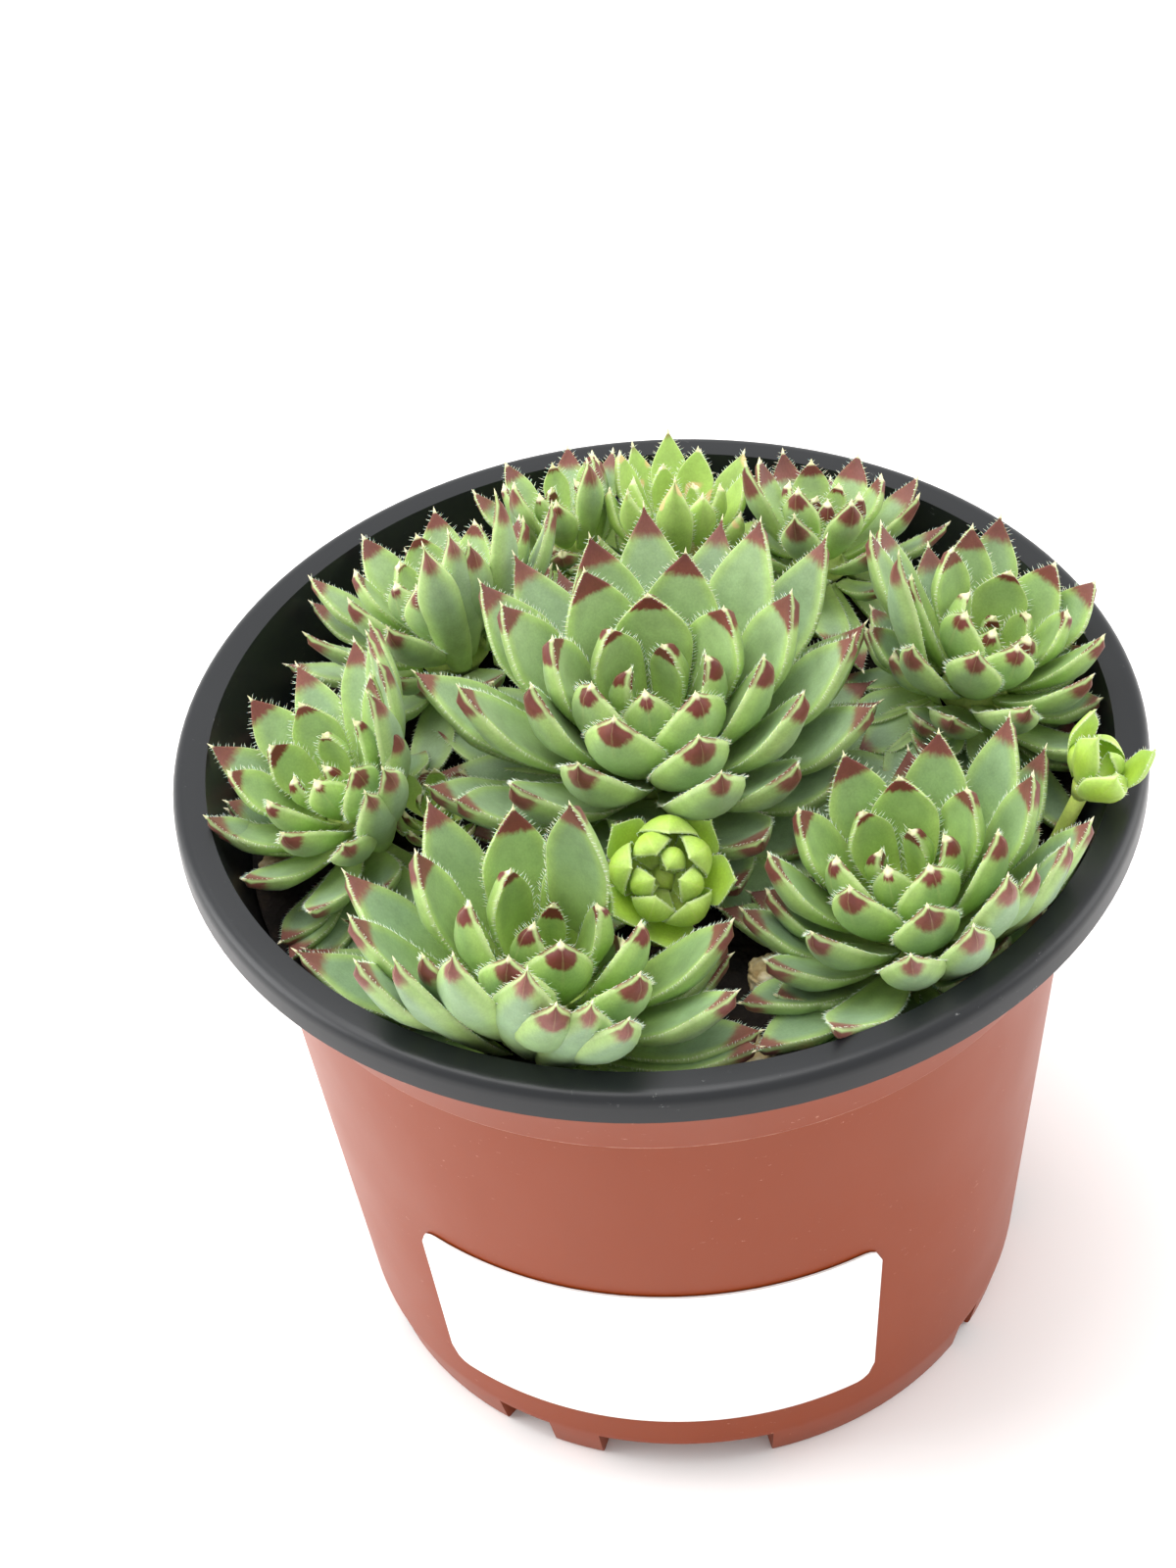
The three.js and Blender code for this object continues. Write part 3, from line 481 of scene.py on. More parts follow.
def spun(name, profile, steps, sweep=360, start=0):
    """Spins a profile of radii and heights about Z: a full turn of a line, or part of a turn of a face."""
    angle = math.radians(start)
    points = [(r * math.cos(angle), r * math.sin(angle), z) for r, z in profile]
    if sweep < 360:
        piece = new_piece(name, points, [], [tuple(range(len(points)))])
    else:
        piece = new_piece(name, points, [(k, k + 1) for k in range(len(points) - 1)], [])
    set_active(piece)
    bpy.ops.object.mode_set(mode="EDIT")
    bpy.ops.mesh.select_all(action="SELECT")
    bpy.ops.mesh.spin(steps=steps, angle=math.radians(sweep), center=(0, 0, 0), axis=(0, 0, 1))
    bpy.ops.mesh.select_all(action="SELECT")
    bpy.ops.mesh.remove_doubles(threshold=1e-6)
    bpy.ops.mesh.normals_make_consistent(inside=False)
    bpy.ops.object.mode_set(mode="OBJECT")
    return piece


# An arc takes at most this share of the shorter line beside its corner.
LONGEST_ROUND = 0.45


def rounded(points, radius, steps):
    """An open profile with each inner corner turned into an arc of up to that radius."""
    result = [points[0]]
    for before, here, after in zip(points, points[1:], points[2:]):
        a, b, c = (Vector(p) for p in (before, here, after))
        reach = min(radius, LONGEST_ROUND * (a - b).length, LONGEST_ROUND * (c - b).length)
        first, last = b + (a - b).normalized() * reach, b + (c - b).normalized() * reach
        for k in range(steps + 1):
            t = k / steps
            result.append(tuple(first * (1 - t) ** 2 + b * 2 * t * (1 - t) + last * t ** 2))
    return result + [points[-1]]


# ---------------------------------------------------------------- pot

FLANGE_INNER = POT["rim_radius"] - POT["flange_width"]
BODY_TOP_RADIUS = POT["collar_foot_radius"] - POT["ledge_width"]
LEDGE_LOW = POT["ledge_height"] - POT["ledge_fall"]
COLLAR_FOOT = (POT["collar_foot_radius"] - POT["wall"], POT["ledge_height"] + POT["inside_lift"])


def body_radius(height):
    """Outer radius of the tapered body at a height below the ledge."""
    share = (height - POT["foot_height"]) / (LEDGE_LOW - POT["foot_height"])
    return POT["body_foot_radius"] + (BODY_TOP_RADIUS - POT["body_foot_radius"]) * share


def collar_inside(height):
    """Inside radius of the collar at a height above the ledge."""
    radius, foot = COLLAR_FOOT
    slope = (FLANGE_INNER - radius) / (POT["height"] - POT["edge_round"] - foot)
    return radius + (height - foot) * slope


def pot_outside():
    """The outer profile, from under the floor to the lip's edge."""
    p = POT
    return [
        (0, p["underside"]), (p["foot_ring_radius"], p["underside"]),
        (p["foot_ring_radius"] + p["foot_ring_slant"], 0), (p["foot_radius"], 0),
        (p["body_foot_radius"], p["foot_height"]), (BODY_TOP_RADIUS, LEDGE_LOW),
        (p["collar_foot_radius"], p["ledge_height"]),
        (FLANGE_INNER + p["wall"], p["height"] - p["flange_thick"]),
        (p["rim_radius"] - p["lip_wall"], p["height"] - p["flange_thick"]),
        (p["rim_radius"] - p["lip_wall"], p["height"] - p["lip_drop"]),
    ]


def pot_inside():
    """The black profile, from the lip's edge over the rim and down to the floor."""
    p = POT
    floor_radius = body_radius(p["floor_top"]) - p["wall"]
    return [
        (p["rim_radius"], p["height"] - p["lip_drop"]), (p["rim_radius"], p["height"]),
        (FLANGE_INNER, p["height"]), COLLAR_FOOT,
        (BODY_TOP_RADIUS - p["wall"], LEDGE_LOW + p["inside_lift"]),
        (floor_radius, p["floor_top"]), (0, p["floor_top"]),
    ]


# Faces nearer than this to a height are at it.
NEAR = 0.05


def make_pot(terracotta, black):
    """The spun shell, its cut foot, and black on all that the terracotta doesn't cover."""
    inside = pot_inside()
    outside = rounded(pot_outside(), *ROUNDING["outside"])
    rim = rounded(inside[:3], *ROUNDING["rim"])
    pot = spun("pot_shell", outside + rim[:-1] + rounded(inside[2:], *ROUNDING["inside"]), steps=144)
    cutters = []
    for third in range(CHANNEL_REPEATS):
        step = third * 360 / CHANNEL_REPEATS - 90
        for start, end in CHANNELS:
            inner, outer = POT["foot_ring_radius"] - 1, POT["body_foot_radius"] + 2
            block = [(inner, -1), (outer, -1), (outer, CHANNEL_HEIGHT), (inner, CHANNEL_HEIGHT)]
            cutters.append(spun("channel", block, steps=8, sweep=end - start, start=start + step))
        angle = math.radians((CHANNELS[0][0] + CHANNELS[0][1]) / 2 + step)
        circle = POT["drain_circle"] * MM
        deselect()
        bpy.ops.mesh.primitive_cylinder_add(
            vertices=32, radius=POT["drain_radius"] * MM, depth=20 * MM,
            location=(circle * math.cos(angle), circle * math.sin(angle), 0))
        cutters.append(bpy.context.object)
    for cutter in cutters:
        apply_modifier(pot, "BOOLEAN", "cut", object=cutter, operation="DIFFERENCE", solver="EXACT")
        bpy.data.objects.remove(cutter)
    smooth_skin(pot, terracotta, black)
    lip_edge = POT["height"] - POT["lip_drop"]
    for face in pot.data.polygons:
        x, y, z = face.center / MM
        radius = math.hypot(x, y)
        on_rim = z > lip_edge - NEAR and radius > POT["rim_radius"] - 0.5 * POT["lip_wall"]
        on_top = z > POT["height"] - 0.5 * POT["flange_thick"]
        within = z > POT["floor_top"] - NEAR and radius < (
            body_radius(z) if z < LEDGE_LOW else collar_inside(z) + POT["wall"]) - 0.5 * POT["wall"]
        face.material_index = 1 if on_rim or on_top or within else 0
    set_active(pot)
    bpy.ops.object.shade_smooth_by_angle(angle=math.radians(32))
    finish_piece(pot, "pot", "pot")


# ---------------------------------------------------------------- label

def make_label(paper):
    """A rounded rectangle of paper, wrapped on the pot's tapered body."""
    p = LABEL
    deselect()
    bpy.ops.mesh.primitive_grid_add(x_subdivisions=72, y_subdivisions=16, size=1)
    label = bpy.context.object
    label.name = "label_sheet"
    turn = p["width"] / body_radius(p["low"] + p["height"] / 2)
    corners_from = 1 - 2 * p["corner"] / p["width"]
    for vertex in label.data.vertices:
        across = 2 * vertex.co.x
        into_corner = max(0, (abs(across) - corners_from) / (1 - corners_from))
        inset = p["corner"] * (1 - math.sqrt(max(0, 1 - into_corner ** 2)))
        height = p["low"] + p["height"] / 2 + vertex.co.y * (p["height"] - 2 * inset)
        angle = math.radians(p["middle"]) + across * turn / 2
        radius = body_radius(height) + p["gap"]
        vertex.co = Vector((radius * math.sin(angle), -radius * math.cos(angle), height)) * MM
    apply_modifier(label, "SOLIDIFY", "thickness", thickness=p["thick"] * MM, offset=1)
    smooth_skin(label, paper)
    set_active(label)
    bpy.ops.object.shade_smooth_by_angle(angle=math.radians(40))
    finish_piece(label, "label", "label")


# ---------------------------------------------------------------- soil and pumice

def soil_height(x, y):
    """Height of the soil's low swells, the same as in its solid."""
    return SOIL["level"] + SOIL["swell"] * (math.sin(x * 0.31 + 1) + math.cos(y * 0.27 + x * 0.12))


def make_soil(mix):
    """The soil fills the pot, with crumbs of a few millimetres on its swells."""
    gap = SOIL["gap"]
    floor = POT["floor_top"] + gap
    floor_radius = body_radius(POT["floor_top"]) - POT["wall"] - gap
    edge = collar_inside(SOIL["level"]) - gap
    rings = np.arange(edge, 0, -SOIL["ring_step"])
    profile = [
        (0, floor), (floor_radius - 1, floor), (floor_radius, floor + 1),
        (BODY_TOP_RADIUS - POT["wall"] - gap, LEDGE_LOW + POT["inside_lift"] + gap),
        (COLLAR_FOOT[0] - gap, COLLAR_FOOT[1] + gap),
        *((radius, SOIL["level"]) for radius in rings), (0, SOIL["level"]),
    ]
    soil = spun("soil_fill", profile, steps=180)
    for vertex in soil.data.vertices:
        x, y, z = vertex.co / MM
        if z > SOIL["level"] - 0.01 and math.hypot(x, y) < edge - 0.5:
            place = Vector((x, y, 0))
            crumble = 0.5 * noise.fractal(place * 0.9, 0.8, 2.1, 4) + 0.35 * noise.noise(place * 0.35)
            vertex.co.z = (soil_height(x, y) + crumble) * MM
    smooth_skin(soil, mix)
    finish_piece(soil, "soil", "soil")


def make_stones(pumice):
    """Lumps of pumice, pitted and a little flattened, seated on the soil."""
    for number, stone in enumerate(STONES):
        deselect()
        bpy.ops.mesh.primitive_ico_sphere_add(subdivisions=5, radius=1)
        rock = bpy.context.object
        rock.name = f"pumice_grit_{number + 1}"
        for vertex in rock.data.vertices:
            p = vertex.co.normalized()
            lump = 1 + 0.16 * noise.noise(p * 1.7 + Vector((number * 3.1, 0, 0)))
            pits = 0.1 * noise.fractal(p * 4.5 + Vector((number, 5, 0)), 0.7, 2.2, 4)
            vertex.co = p * (lump + pits) * stone["size"]
            vertex.co.z *= stone["flat"]
        low = min(vertex.co.z for vertex in rock.data.vertices)
        x, y = stone["at"]
        seat = soil_height(x, y) + 0.1 - low
        for vertex in rock.data.vertices:
            vertex.co = (vertex.co + Vector((x, y, seat))) * MM
        smooth_skin(rock, pumice)
        finish_piece(rock, "pumice", f"pumice_{number + 1}")


# ---------------------------------------------------------------- growth

def draw(leaf, trait):
    """A seeded draw between -1 and 1 for one leaf and one of its traits."""
    wave = math.sin(leaf * 12.9898 + trait * 78.233) * 43758.5453
    return 2 * (wave - math.floor(wave)) - 1


def frame_of(r):
    """The turn that brings +Z onto a rosette's leaning axis, and the heart's place."""
    tilt = [math.tan(math.radians(degrees)) for degrees in r["lean"]]
    axis = Vector((*tilt, 1)).normalized()
    turn = Vector((0, 0, 1)).rotation_difference(axis).to_matrix()
    return np.array(turn), np.array(r["at"], float)


def leaf_traits(r, leaf):
    """What one leaf grows like before it is moved for its neighbours."""
    g = GROWTH
    u = min(leaf / (r["leaves"] - 1), SKIRT["age"])
    share = r["short"] + (1 - r["short"]) * math.sin(math.pi / 2 * min(1, u / g["full_length_at"]))
    azimuth = r["first"] + r["turn"] * leaf + g["azimuth_play"] * draw(leaf, 1)
    x, y, _ = r["at"]
    to_middle = -(x * math.cos(math.radians(azimuth)) + y * math.sin(math.radians(azimuth)))
    to_middle /= max(g["stretch_from"], math.hypot(x, y))
    stretch = 1 + g["stretch"] * min(1, u) * max(0, to_middle)
    droop = g["droop"] * max(0, u - 1)
    bud_tip = r.get("bud_tip", g["tip_angle"])
    return dict(
        u=u, azimuth=azimuth,
        root=g["root_angle"] + (r["root"] - g["root_angle"]) * u ** g["root_power"] + droop,
        tip=bud_tip + (r["tip"] - bud_tip) * u ** g["tip_power"] + 2 * droop + g["tip_play"] * draw(leaf, 2),
        length=r["reach"] * share * stretch * (1 + g["length_play"] * draw(leaf, 3)),
        radius=r["core"] * (g["bud_share"] + (1 - g["bud_share"]) * math.sqrt(min(1, u))),
        height=-r["core"] * g["axis_drop"] * min(u, g["lowest"]),
    )


def leaf_pose(r, leaf, move):
    """The numbers of a leaf's curve once it has been raised, turned and shortened."""
    _, share, raised, turned = move
    traits = leaf_traits(r, leaf)
    root = math.radians(max(LEAF["steepest_root"], traits["root"] - raised))
    tip = math.radians(max(LEAF["tightest_tip"], traits["tip"] - raised))
    bend = tip - root if abs(tip - root) > LEAF["least_bend"] else LEAF["least_bend"]
    azimuth = math.radians(traits["azimuth"] + turned)
    grown = min(1, traits["length"] / r["reach"] / LEAF["full_width_at"])
    half = 0.5 * r.get("wide", LEAF["width"]) * r["reach"]
    half *= min(1, LEAF["bud_width"] + LEAF["widening"] * leaf) * math.sin(math.pi / 2 * grown)
    return dict(
        traits, length=traits["length"] * share, root=root, bend=bend, half=half,
        cup=LEAF["cup"] + (LEAF["bud_cup"] - LEAF["cup"]) * (1 - traits["u"]) ** 2,
        deep=LEAF["thickness"] * r["reach"],
        out=np.array([math.cos(azimuth), math.sin(azimuth), 0]),
        across=np.array([-math.sin(azimuth), math.cos(azimuth), 0]),
    )


UP = np.array([0.0, 0.0, 1.0])


def leaf_line(pose, t):
    """Points on a leaf's middle line, with the directions along it and out of its face."""
    angle = (pose["root"] + pose["bend"] * t)[:, None]
    root = pose["root"]
    outward = pose["radius"] + pose["length"] * (math.cos(root) - np.cos(angle)) / pose["bend"]
    upward = pose["height"] + pose["length"] * (np.sin(angle) - math.sin(root)) / pose["bend"]
    line = outward * pose["out"] + upward * UP
    along = np.sin(angle) * pose["out"] + np.cos(angle) * UP
    facing = -np.cos(angle) * pose["out"] + np.sin(angle) * UP
    return line, along, facing


def past_widest(t, end=1.0):
    """How far stations lie past the widest one, as a share of the way to the end."""
    return np.clip((t - LEAF["widest_at"]) / (end - LEAF["widest_at"]), 0, 1)


def width_share(t, end=1.0, taper=LEAF["taper"]):
    """Half width along a leaf, as a share of the widest: broad root, round shoulders, drawn-out point."""
    rise = np.sin(math.pi / 2 * np.minimum(1, t / LEAF["widest_at"]))
    root = LEAF["root_width"] + (1 - LEAF["root_width"]) * rise
    return root * (1 - past_widest(t, end) ** LEAF["shoulder"]) ** taper


def thickness_share(t):
    """Thickness along a leaf, as a share of the thickest."""
    toward = np.minimum(1, t / LEAF["widest_at"])
    swelling = LEAF["root_thickness"] + (1 - LEAF["root_thickness"]) * toward
    return swelling * (1 + (LEAF["point_thickness"] - 1) * past_widest(t))


# ---------------------------------------------------------------- room for the leaves

# Ways to move a crowded leaf, gentlest first: its cost, the share of its length that is left, and the
# degrees that it is raised and turned.
MOVES = sorted((
    (5 * raised + 4 * abs(turns) + 3 * shorter, share, 5 * raised, 6 * turns)
    for shorter, share in enumerate((1, 0.93, 0.86, 0.79, 0.72, 0.65, 0.58, 0.51, 0.44))
    for raised in range(13)
    for turns in (0, -1, 1, -2, 2)
), key=lambda move: move[0])


def sphere_looks(count=60):
    """Directions spread over a sphere by the golden angle."""
    k = np.arange(count)
    z = 1 - (2 * k + 1) / count
    angle = np.radians(137.5 * k)
    flat = np.sqrt(1 - z * z)
    return np.stack([flat * np.cos(angle), flat * np.sin(angle), z], axis=1)


LOOKS = sphere_looks()
LEVEL_LOOKS = np.array([(math.cos(a), math.sin(a), 0) for a in np.radians(np.arange(0, 360, 15))])


def place_on_axis(r, height):
    """The place at a height over the heart, on a rosette's own axis."""
    turn, at = frame_of(r)
    return turn @ np.array([0, 0, height]) + at


def middle_of(r):
    """The middle of a rosette's space."""
    return place_on_axis(r, r.get("lift", LIFT) * r["reach"])


def stem_top_of(r):
    return place_on_axis(r, -r["core"] * GROWTH["axis_drop"])


def stem_foot_of(r):
    under = stem_top_of(r)
    return np.array([*r.get("foot", under[:2]), SOIL["level"] + STEM["bend"]])


def walls_of(name):
    """The upright walls between one rosette and the others: their normals and limits."""
    own = ROSETTES[name]
    if "ball" in own:
        return np.zeros((0, 3)), np.zeros(0)
    here = middle_of(own)
    normals, limits = [], []
    for other, theirs in ROSETTES.items():
        if other == name or "ball" in theirs:
            continue
        normal = (middle_of(theirs) - here) * (1, 1, 0)
        apart = np.linalg.norm(normal)
        normal /= apart
        reach_out = (apart ** 2 + own["room"] ** 2 - theirs["room"] ** 2) / (2 * apart)
        normals.append(normal)
        limits.append(normal @ here + reach_out - CLEAR["neighbour"])
    return np.array(normals), np.array(limits)


def offsets_of(name):
    """The balls and the stems of the offsets beside a rosette."""
    found = []
    for other, theirs in ROSETTES.items():
        if other == name or "ball" not in theirs:
            continue
        foot = stem_foot_of(theirs)
        slope = stem_top_of(theirs) - foot
        found.append(dict(
            middle=middle_of(theirs), ball=theirs["ball"] + CLEAR["ball"], foot=foot,
            slope=slope / slope[2], stem=theirs["stem"] + CLEAR["stem"]))
    return found


def parts_from(points, offsets):
    """Whether some flat gap parts all the points from each offset's ball and from its stem."""
    for o in offsets:
        if not ((points - o["middle"]) @ LOOKS.T > o["ball"]).all(axis=0).any():
            return False
        rise = (points[:, 2] - o["foot"][2])[:, None]
        beside = points - o["foot"] - rise * o["slope"]
        if not (beside @ LEVEL_LOOKS.T > o["stem"]).all(axis=0).any():
            return False
    return True


def is_clear(points, walls, r):
    """Whether all the points keep clear of the pot, the soil, the stones and the walls."""
    x, y, z = points.T
    over_rim = z > POT["height"] + CLEAR["rim"] if r.get("over_rim") else np.zeros(len(z), bool)
    if (~over_rim & (np.hypot(x, y) > collar_inside(z) - CLEAR["collar"])).any():
        return False
    if np.abs(points[:, :2]).max() > POT["rim_radius"] - CLEAR["edge"]:
        return False
    if z.min() < SOIL["level"] + 2 * SOIL["swell"] + CLEAR["soil"]:
        return False
    for stone in STONES:
        middle = np.array([*stone["at"], SOIL["level"] + stone["size"]])
        if np.linalg.norm(points - middle, axis=1).min() < stone["size"] + CLEAR["stone"]:
            return False
    if "ball" in r and np.linalg.norm(points - middle_of(r), axis=1).max() > r["ball"]:
        return False
    normals, limits = walls
    return bool((points @ normals.T < limits).all())


def test_points(r, pose, turn, at):
    """The corners of the solids' plain leaf, two margins and the keel at each station, and their middles."""
    young = r.get("simple") or pose["u"] < LEAF["young_until"]
    t = np.array(LEAF["young_stations"] if young else LEAF["stations"])
    line, _, facing = leaf_line(pose, t)
    half = (pose["half"] * width_share(t))[:, None]
    dip = pose["cup"] * half
    deep = (pose["deep"] * thickness_share(t))[:, None]
    across = pose["across"]
    rings = np.stack([line - across * half, line + across * half, line - facing * (dip + deep)], axis=1)
    point = leaf_line(pose, np.array([1.0]))[0]
    ends = np.concatenate([rings, np.repeat(point[None], 3, axis=1)])
    halfway = (ends[1:] + ends[:-1]) / 2
    points = np.concatenate([rings.reshape(-1, 3), point, halfway.reshape(-1, 3)])
    return points @ turn.T + at


def placed_leaf(r, leaf, walls, offsets):
    """The leaf in the gentlest move that keeps it in its own space, or nothing if it has no room."""
    turn, at = frame_of(r)
    for move in MOVES:
        pose = leaf_pose(r, leaf, move)
        points = test_points(r, pose, turn, at)
        if is_clear(points, walls, r) and parts_from(points, offsets):
            return pose
    return None


# ---------------------------------------------------------------- leaves

def leaf_blank():
    """A closed blank for every leaf: its stations, the angles round it and its faces.

    The root is the lower pole of a sphere and the point is the upper one. Face columns have a
    positive sine and back columns a negative one."""
    deselect()
    bpy.ops.mesh.primitive_uv_sphere_add(segments=BLANK["columns"], ring_count=BLANK["stations"])
    sphere = bpy.context.object
    points = np.array([vertex.co for vertex in sphere.data.vertices], float)
    faces = [tuple(face.vertices) for face in sphere.data.polygons]
    bpy.data.objects.remove(sphere)
    even = 1 - np.arccos(np.clip(points[:, 2], -1, 1)) / math.pi
    return 1 - (1 - even) ** BLANK["crowding"], np.arctan2(points[:, 1], points[:, 0]), faces


def blade_half(pose, t):
    """Half width of the fine leaf, in millimetres: broad shoulders, then the soft spine."""
    blade = pose["half"] * width_share(t, BLADE["ends_at"], pose["taper"])
    spine = BLADE["spine"] * np.clip((1 - t) / BLADE["spine_end"], 0, 1)
    return np.maximum(blade, spine)


def on_leaf(pose, t, angle):
    """Points of the fine leaf at stations t and at angles round it, in the rosette's own frame."""
    line, along, facing = leaf_line(pose, t)
    half = blade_half(pose, t)
    x, rise = np.cos(angle), np.sin(angle)
    dip = pose["cup"] * half * (1 - x ** 2)
    deep = np.minimum(pose["deep"] * thickness_share(t), BLADE["thickest"] * half)
    offset = np.where(rise >= 0, BLADE["face_swell"] * deep * rise, BLADE["keel"] * deep * rise) - dip
    wave = pose["wave"] * half * np.sin(PLAY["wave_run"] * t + pose["phase"]) * x
    twist = pose["twist"] * t
    across = np.cos(twist)[:, None] * pose["across"] + np.sin(twist)[:, None] * facing
    normal = np.cos(twist)[:, None] * facing - np.sin(twist)[:, None] * pose["across"]
    sweep = (pose["sweep"] * pose["length"] * t ** 2)[:, None] * pose["across"]
    points = line + sweep + across * (x * half)[:, None] + normal * (offset + wave)[:, None]
    return points, half, along, normal, across


def leaf_hairs(pose, seed):
    """Hairs along both margins, each a three-sided spike: three corners at its root, then its point."""
    h = HAIR
    generator = np.random.default_rng(seed)
    count = max(h["fewest"], int(pose["length"] * (h["ends_at"] - h["starts_at"]) / h["spacing"]))
    spikes = []
    for side in (0.0, math.pi):
        scatter = generator.uniform(-h["scatter"], h["scatter"], count) / count
        t = np.linspace(h["starts_at"], h["ends_at"], count) + scatter
        root, _, along, normal, across = on_leaf(pose, t, np.full(count, side))
        lean = generator.uniform(*h["lean"], count)[:, None]
        tilt = generator.uniform(-h["tilt"], h["tilt"], count)[:, None]
        direction = across * math.cos(side) + along * lean + normal * tilt
        direction /= np.linalg.norm(direction, axis=1, keepdims=True)
        length = (h["length"] * pose["hairy"] * generator.uniform(*h["sizes"], count))[:, None]
        side_way = np.cross(direction, normal)
        side_way /= np.linalg.norm(side_way, axis=1, keepdims=True)
        other_way = np.cross(direction, side_way)
        base = root - direction * h["sunk"]
        thirds = [(math.cos(turn), math.sin(turn)) for turn in np.radians((0, 120, 240))]
        corners = [base + h["radius"] * (c * side_way + s * other_way) for c, s in thirds]
        spikes.append(np.stack([*corners, root + direction * length], axis=1))
    return np.concatenate(spikes)


def tube(points, radii, sides):
    """A closed skin over rings round upright points, from a middle point to another."""
    angle = np.linspace(0, 2 * math.pi, sides, endpoint=False)
    ring = np.stack([np.cos(angle), np.sin(angle), 0 * angle], axis=1)
    rings = [np.array(p) + r * ring for p, r in zip(points, radii)]
    skin = np.concatenate([[points[0]], *rings, [points[-1]]])
    faces = []
    last = len(rings) - 1
    end = len(skin) - 1
    for k in range(sides):
        after = (k + 1) % sides
        faces.append((0, 1 + after, 1 + k))
        for level in range(last):
            low, high = 1 + level * sides, 1 + (level + 1) * sides
            faces.append((low + k, low + after, high + after, high + k))
        faces.append((1 + last * sides + k, 1 + last * sides + after, end))
    return skin, faces


def core_and_stem(r, turn, at):
    """The skins and faces of the short axis under the leaves, and of the stem down into the soil."""
    bottom = -r["core"] * GROWTH["axis_drop"]
    share = np.array(CORE["stations"])
    radii = r["core"] * (GROWTH["bud_share"] + (1 - GROWTH["bud_share"]) * np.sqrt(share))
    axis_points = [(0, 0, bottom - CORE["neck"])] + [(0, 0, bottom * u) for u in share]
    core, core_faces = tube(axis_points, [r["stem"], *radii], CORE["sides"])
    foot = stem_foot_of(r)
    low = np.array([*foot[:2], SOIL["level"] - STEM["depth"]])
    stem, stem_faces = tube([low, foot, stem_top_of(r)], [r["stem"]] * 3, STEM["sides"])
    return (core @ turn.T + at, core_faces), (stem, stem_faces)


def wrap_head(pose, head):
    """Curls a young leaf round the head's globe as a scale, or spreads an old one."""
    share = pose["u"] / head["until"]
    if share >= 1:
        pose["bend"] += math.radians(head["spread"])
        pose["half"] *= head["wide"]
        pose["taper"] = HEAD_TAPER["leaf"]
        return
    radius = head["radii"][0] + (head["radii"][1] - head["radii"][0]) * share
    tip = head["tips"][0] + (head["tips"][1] - head["tips"][0]) * share
    pose["root"] = math.radians(head["root"])
    pose["bend"] = math.radians(tip) - pose["root"]
    pose.update(length=-radius * pose["bend"], half=head["wrap"] * radius, cup=head["cup"],
                taper=HEAD_TAPER["scale"], hairy=HAIR["scale"])


def rosette_leaves(name):
    """The poses of all of a rosette's leaves, with the traits that only show."""
    r = ROSETTES[name]
    (normals, limits), offsets = walls_of(name), offsets_of(name)
    standing = math.ceil(r["leaves"] * (1 + r.get("under", GROWTH["under"])))
    skirt = 0 if "ball" in r else math.ceil(r["leaves"] * SKIRT["share"])
    poses = []
    for leaf in range(standing + skirt):
        crossed = SKIRT["crosses"] if leaf >= standing else 0
        pose = placed_leaf(r, leaf, (normals, limits + crossed), offsets)
        if pose is None:
            continue
        age = min(1, pose["u"])
        pose["taper"] = BLADE["young_taper"] + (BLADE["taper"] - BLADE["young_taper"]) * age
        if "head" in r:
            wrap_head(pose, HEADS[r["head"]])
        else:
            youth = max(0, 1 - age / HEART["until"])
            pose["bend"] += math.radians(HEART["opens"]) * youth
            pose["cup"] *= 1 - HEART["flattens"] * youth
            pose["half"] *= 1 - BLADE["slim"] * age
        grown = (pose["length"] - PATCH["from_length"]) / (PATCH["to_length"] - PATCH["from_length"])
        reach = PATCH["least"] + PATCH["grows"] * min(1, max(0, grown)) + PATCH["play"] * draw(leaf, 6)
        pose.setdefault("hairy", HAIR["offset"] if "head" in r else HAIR["young"] - HAIR["loses"] * age)
        pose.update(
            age=age, fresh=r.get("fresh", 0), tint=0.5 + 0.5 * draw(leaf, 5), bloom=r.get("bloom", 0),
            scar=r.get("scarred", 0) * (SCARRED[0] < age < SCARRED[1]), patch=r.get("patch", 1) * reach,
            twist=math.radians(PLAY["twist"]) * draw(leaf, 7), sweep=PLAY["sweep"] * draw(leaf, 8),
            wave=PLAY["wave"] * draw(leaf, 9), phase=PLAY["phase"] * draw(leaf, 10),
            blunt=BLUNT if "head" in r else 0)
        poses.append(pose)
    return poses


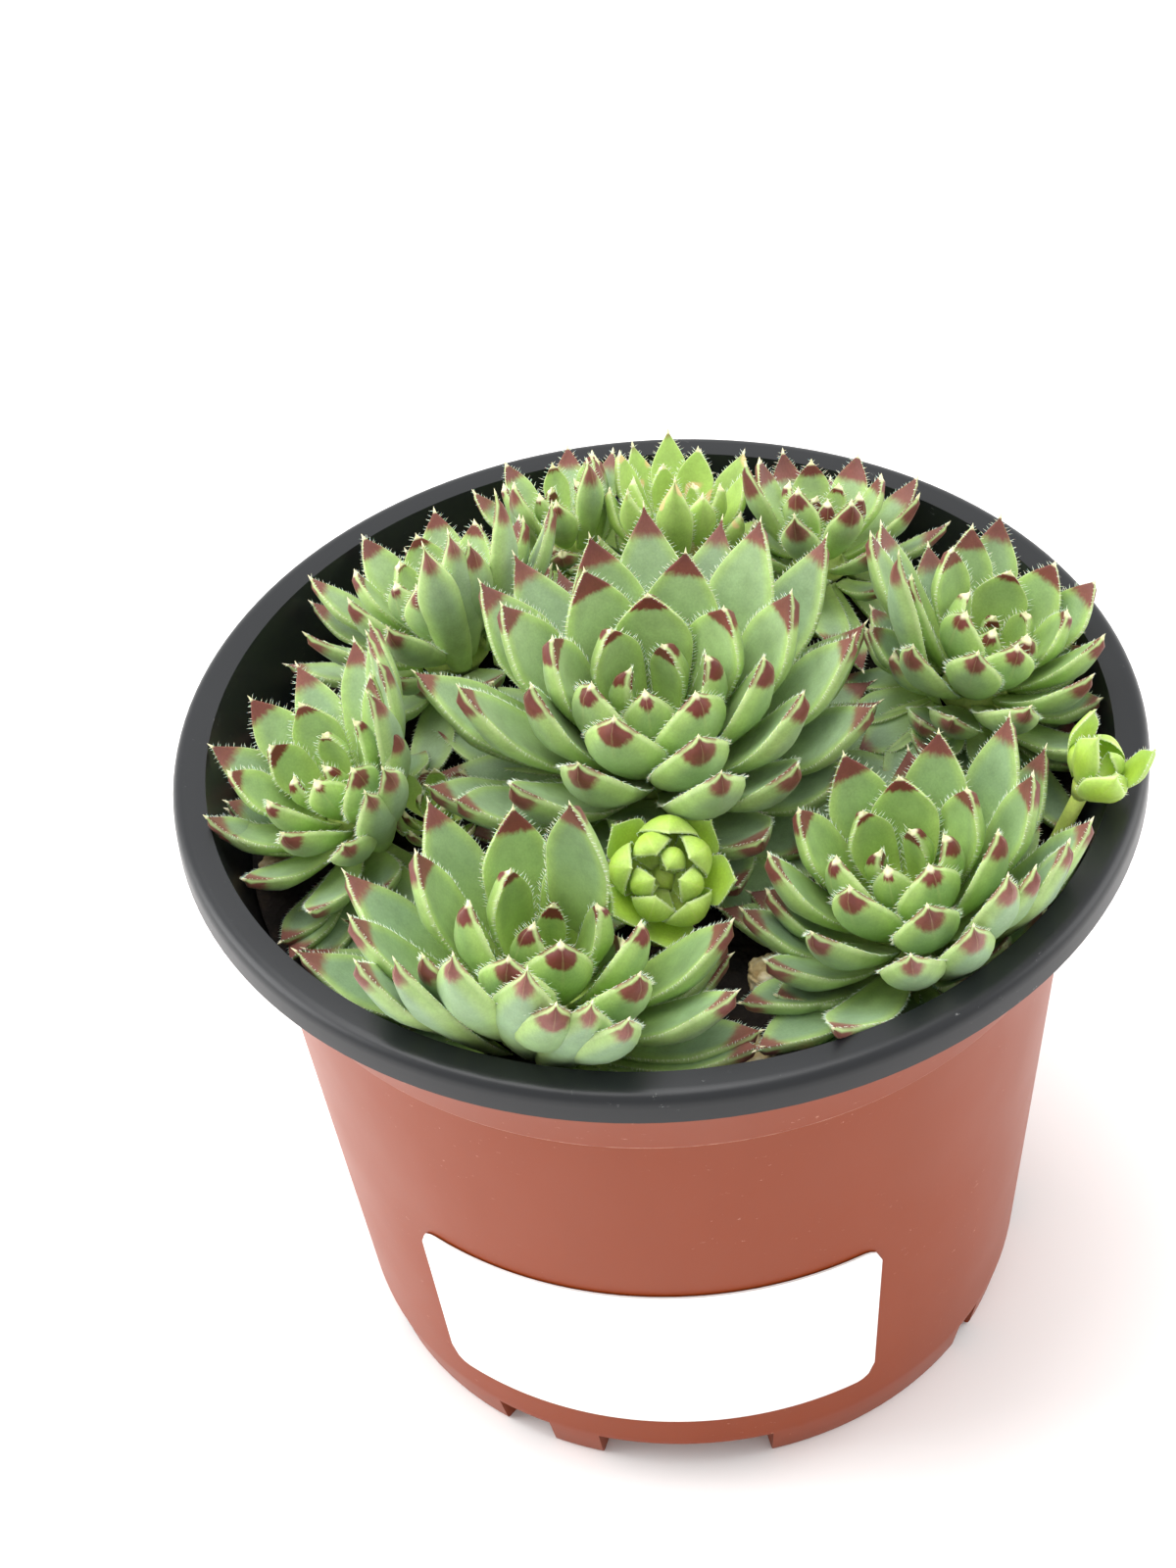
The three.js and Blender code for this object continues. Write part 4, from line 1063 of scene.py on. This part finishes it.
def make_rosette(name, blank, tissue, hair):
    """A rosette's leaves, core and stem in one piece, with their traits, and its hairs in another."""
    r = ROSETTES[name]
    turn, at = frame_of(r)
    fresh = r.get("fresh", 0)
    slot = "leaf_fresh" if fresh > FRESH_FROM else "leaf"
    stations, angles, blank_faces = blank
    skins, spikes = [], []
    for number, pose in enumerate(rosette_leaves(name)):
        skin, half, _, _, _ = on_leaf(pose, stations, angles)
        shown = dict(
            pose, along=stations, across=np.cos(angles), back=(np.sin(angles) < -1e-3) * 1.0,
            edge=(1 - np.abs(np.cos(angles))) * half, tip=(1 - stations) * pose["length"] + pose["blunt"])
        skins.append((skin @ turn.T + at, blank_faces, shown))
        spikes.append(leaf_hairs(pose, 1000 * len(name) + number) @ turn.T + at)
    for skin, skin_faces in core_and_stem(r, turn, at):
        skins.append((skin, skin_faces, dict(CORE_TRAITS, fresh=fresh)))

    faces, count = [], 0
    traits = {trait: [] for trait in POINT_TRAITS}
    for skin, skin_faces, shown in skins:
        faces += [tuple(count + k for k in face) for face in skin_faces]
        count += len(skin)
        for trait, values in traits.items():
            values.append(shown.get(trait, 0) * np.ones(len(skin)))
    plant = new_piece(f"{name}_leaves", np.concatenate([skin for skin, _, _ in skins]), [], faces)
    smooth_skin(plant, tissue)
    for trait, values in traits.items():
        attribute = plant.data.attributes.new(trait, "FLOAT", "POINT")
        attribute.data.foreach_set("value", np.concatenate(values).astype(np.float32))
    finish_piece(plant, slot, name)

    spikes = np.concatenate(spikes)
    spike_faces = [
        tuple(4 * k + corner for corner in side)
        for k in range(len(spikes)) for side in ((0, 1, 3), (1, 2, 3), (2, 0, 3), (2, 1, 0))]
    hairs = new_piece(f"{name}_hairs", spikes.reshape(-1, 3), [], spike_faces)
    smooth_skin(hairs, hair)
    finish_piece(hairs, slot)


# ---------------------------------------------------------------- stage, light and camera

# Its place, its turns, and its lens and sensor in millimetres.
CAMERA = dict(at=(0, -320.5, 371.9), yaw=1.45, pitch=42.93, roll=5.21, lens=90, sensor=36)


def make_camera():
    """A camera that looks along +Y until it is turned to the side, tipped down and rolled."""
    forward, right, up = Vector((0, 1, 0)), Vector((1, 0, 0)), Vector((0, 0, 1))
    yaw = Matrix.Rotation(math.radians(CAMERA["yaw"]), 3, "Z")
    forward, right = yaw @ forward, yaw @ right
    pitch = Matrix.Rotation(-math.radians(CAMERA["pitch"]), 3, right)
    forward, up = pitch @ forward, pitch @ up
    roll = Matrix.Rotation(math.radians(CAMERA["roll"]), 3, forward)
    right, up = roll @ right, roll @ up
    data = bpy.data.cameras.new("camera")
    data.lens, data.sensor_width = CAMERA["lens"], CAMERA["sensor"]
    camera = bpy.data.objects.new("camera", data)
    axes = Matrix((right, up, -forward)).transposed()
    camera.matrix_world = Matrix.Translation(Vector(CAMERA["at"]) * MM) @ axes.to_4x4()
    bpy.context.scene.collection.objects.link(camera)
    bpy.context.scene.camera = camera


# The place that the softboxes look at, in metres.
LIT_PLACE = (0, 0, 0.06)


def add_softbox(name, at, size, power):
    """A square softbox that looks at the plants: its place and size in metres, its power in watts."""
    data = bpy.data.lights.new(name, "AREA")
    data.size, data.energy = size, power
    light = bpy.data.objects.new(name, data)
    light.location = at
    light.rotation_euler = (Vector(LIT_PLACE) - Vector(at)).to_track_quat("-Z", "Y").to_euler()
    bpy.context.scene.collection.objects.link(light)


def make_stage():
    """A white floor, softboxes and an even white surround."""
    deselect()
    bpy.ops.mesh.primitive_plane_add(size=6)
    floor = bpy.context.object
    floor.name = "floor"
    sheet, _, _ = new_material("stage_white", Base_Color=linear("#f7f6f5"), Roughness=0.8)
    floor.data.materials.append(sheet)
    add_softbox("ceiling", (-0.2, 0.15, 1.1), 0.8, 9)
    add_softbox("window", (-0.85, 0.1, 0.45), 0.7, 7)
    add_softbox("reflector", (0.85, 0.2, 0.4), 0.7, 4)
    world = bpy.data.worlds.new("studio")
    world.use_nodes = True
    world.node_tree.nodes["Background"].inputs["Color"].default_value = linear("#ffffff")
    world.node_tree.nodes["Background"].inputs["Strength"].default_value = 1.05
    bpy.context.scene.world = world
    bpy.context.scene.view_settings.view_transform = "Standard"


# ---------------------------------------------------------------- the scene

make_camera()
make_stage()
make_pot(
    pot_plastic("polystyrene_terracotta", "#84350e", "#cf9a84", 0.38, 0.25),
    pot_plastic("polystyrene_black", "#15171a", "#747575", 0.34, 0.4))
make_label(label_paper())
make_soil(potting_mix())
make_stones(pumice_stone())
leaf_shape = leaf_blank()
leaf_skin, cilia = leaf_tissue(), leaf_hair()
for rosette in ROSETTES:
    make_rosette(rosette, leaf_shape, leaf_skin, cilia)
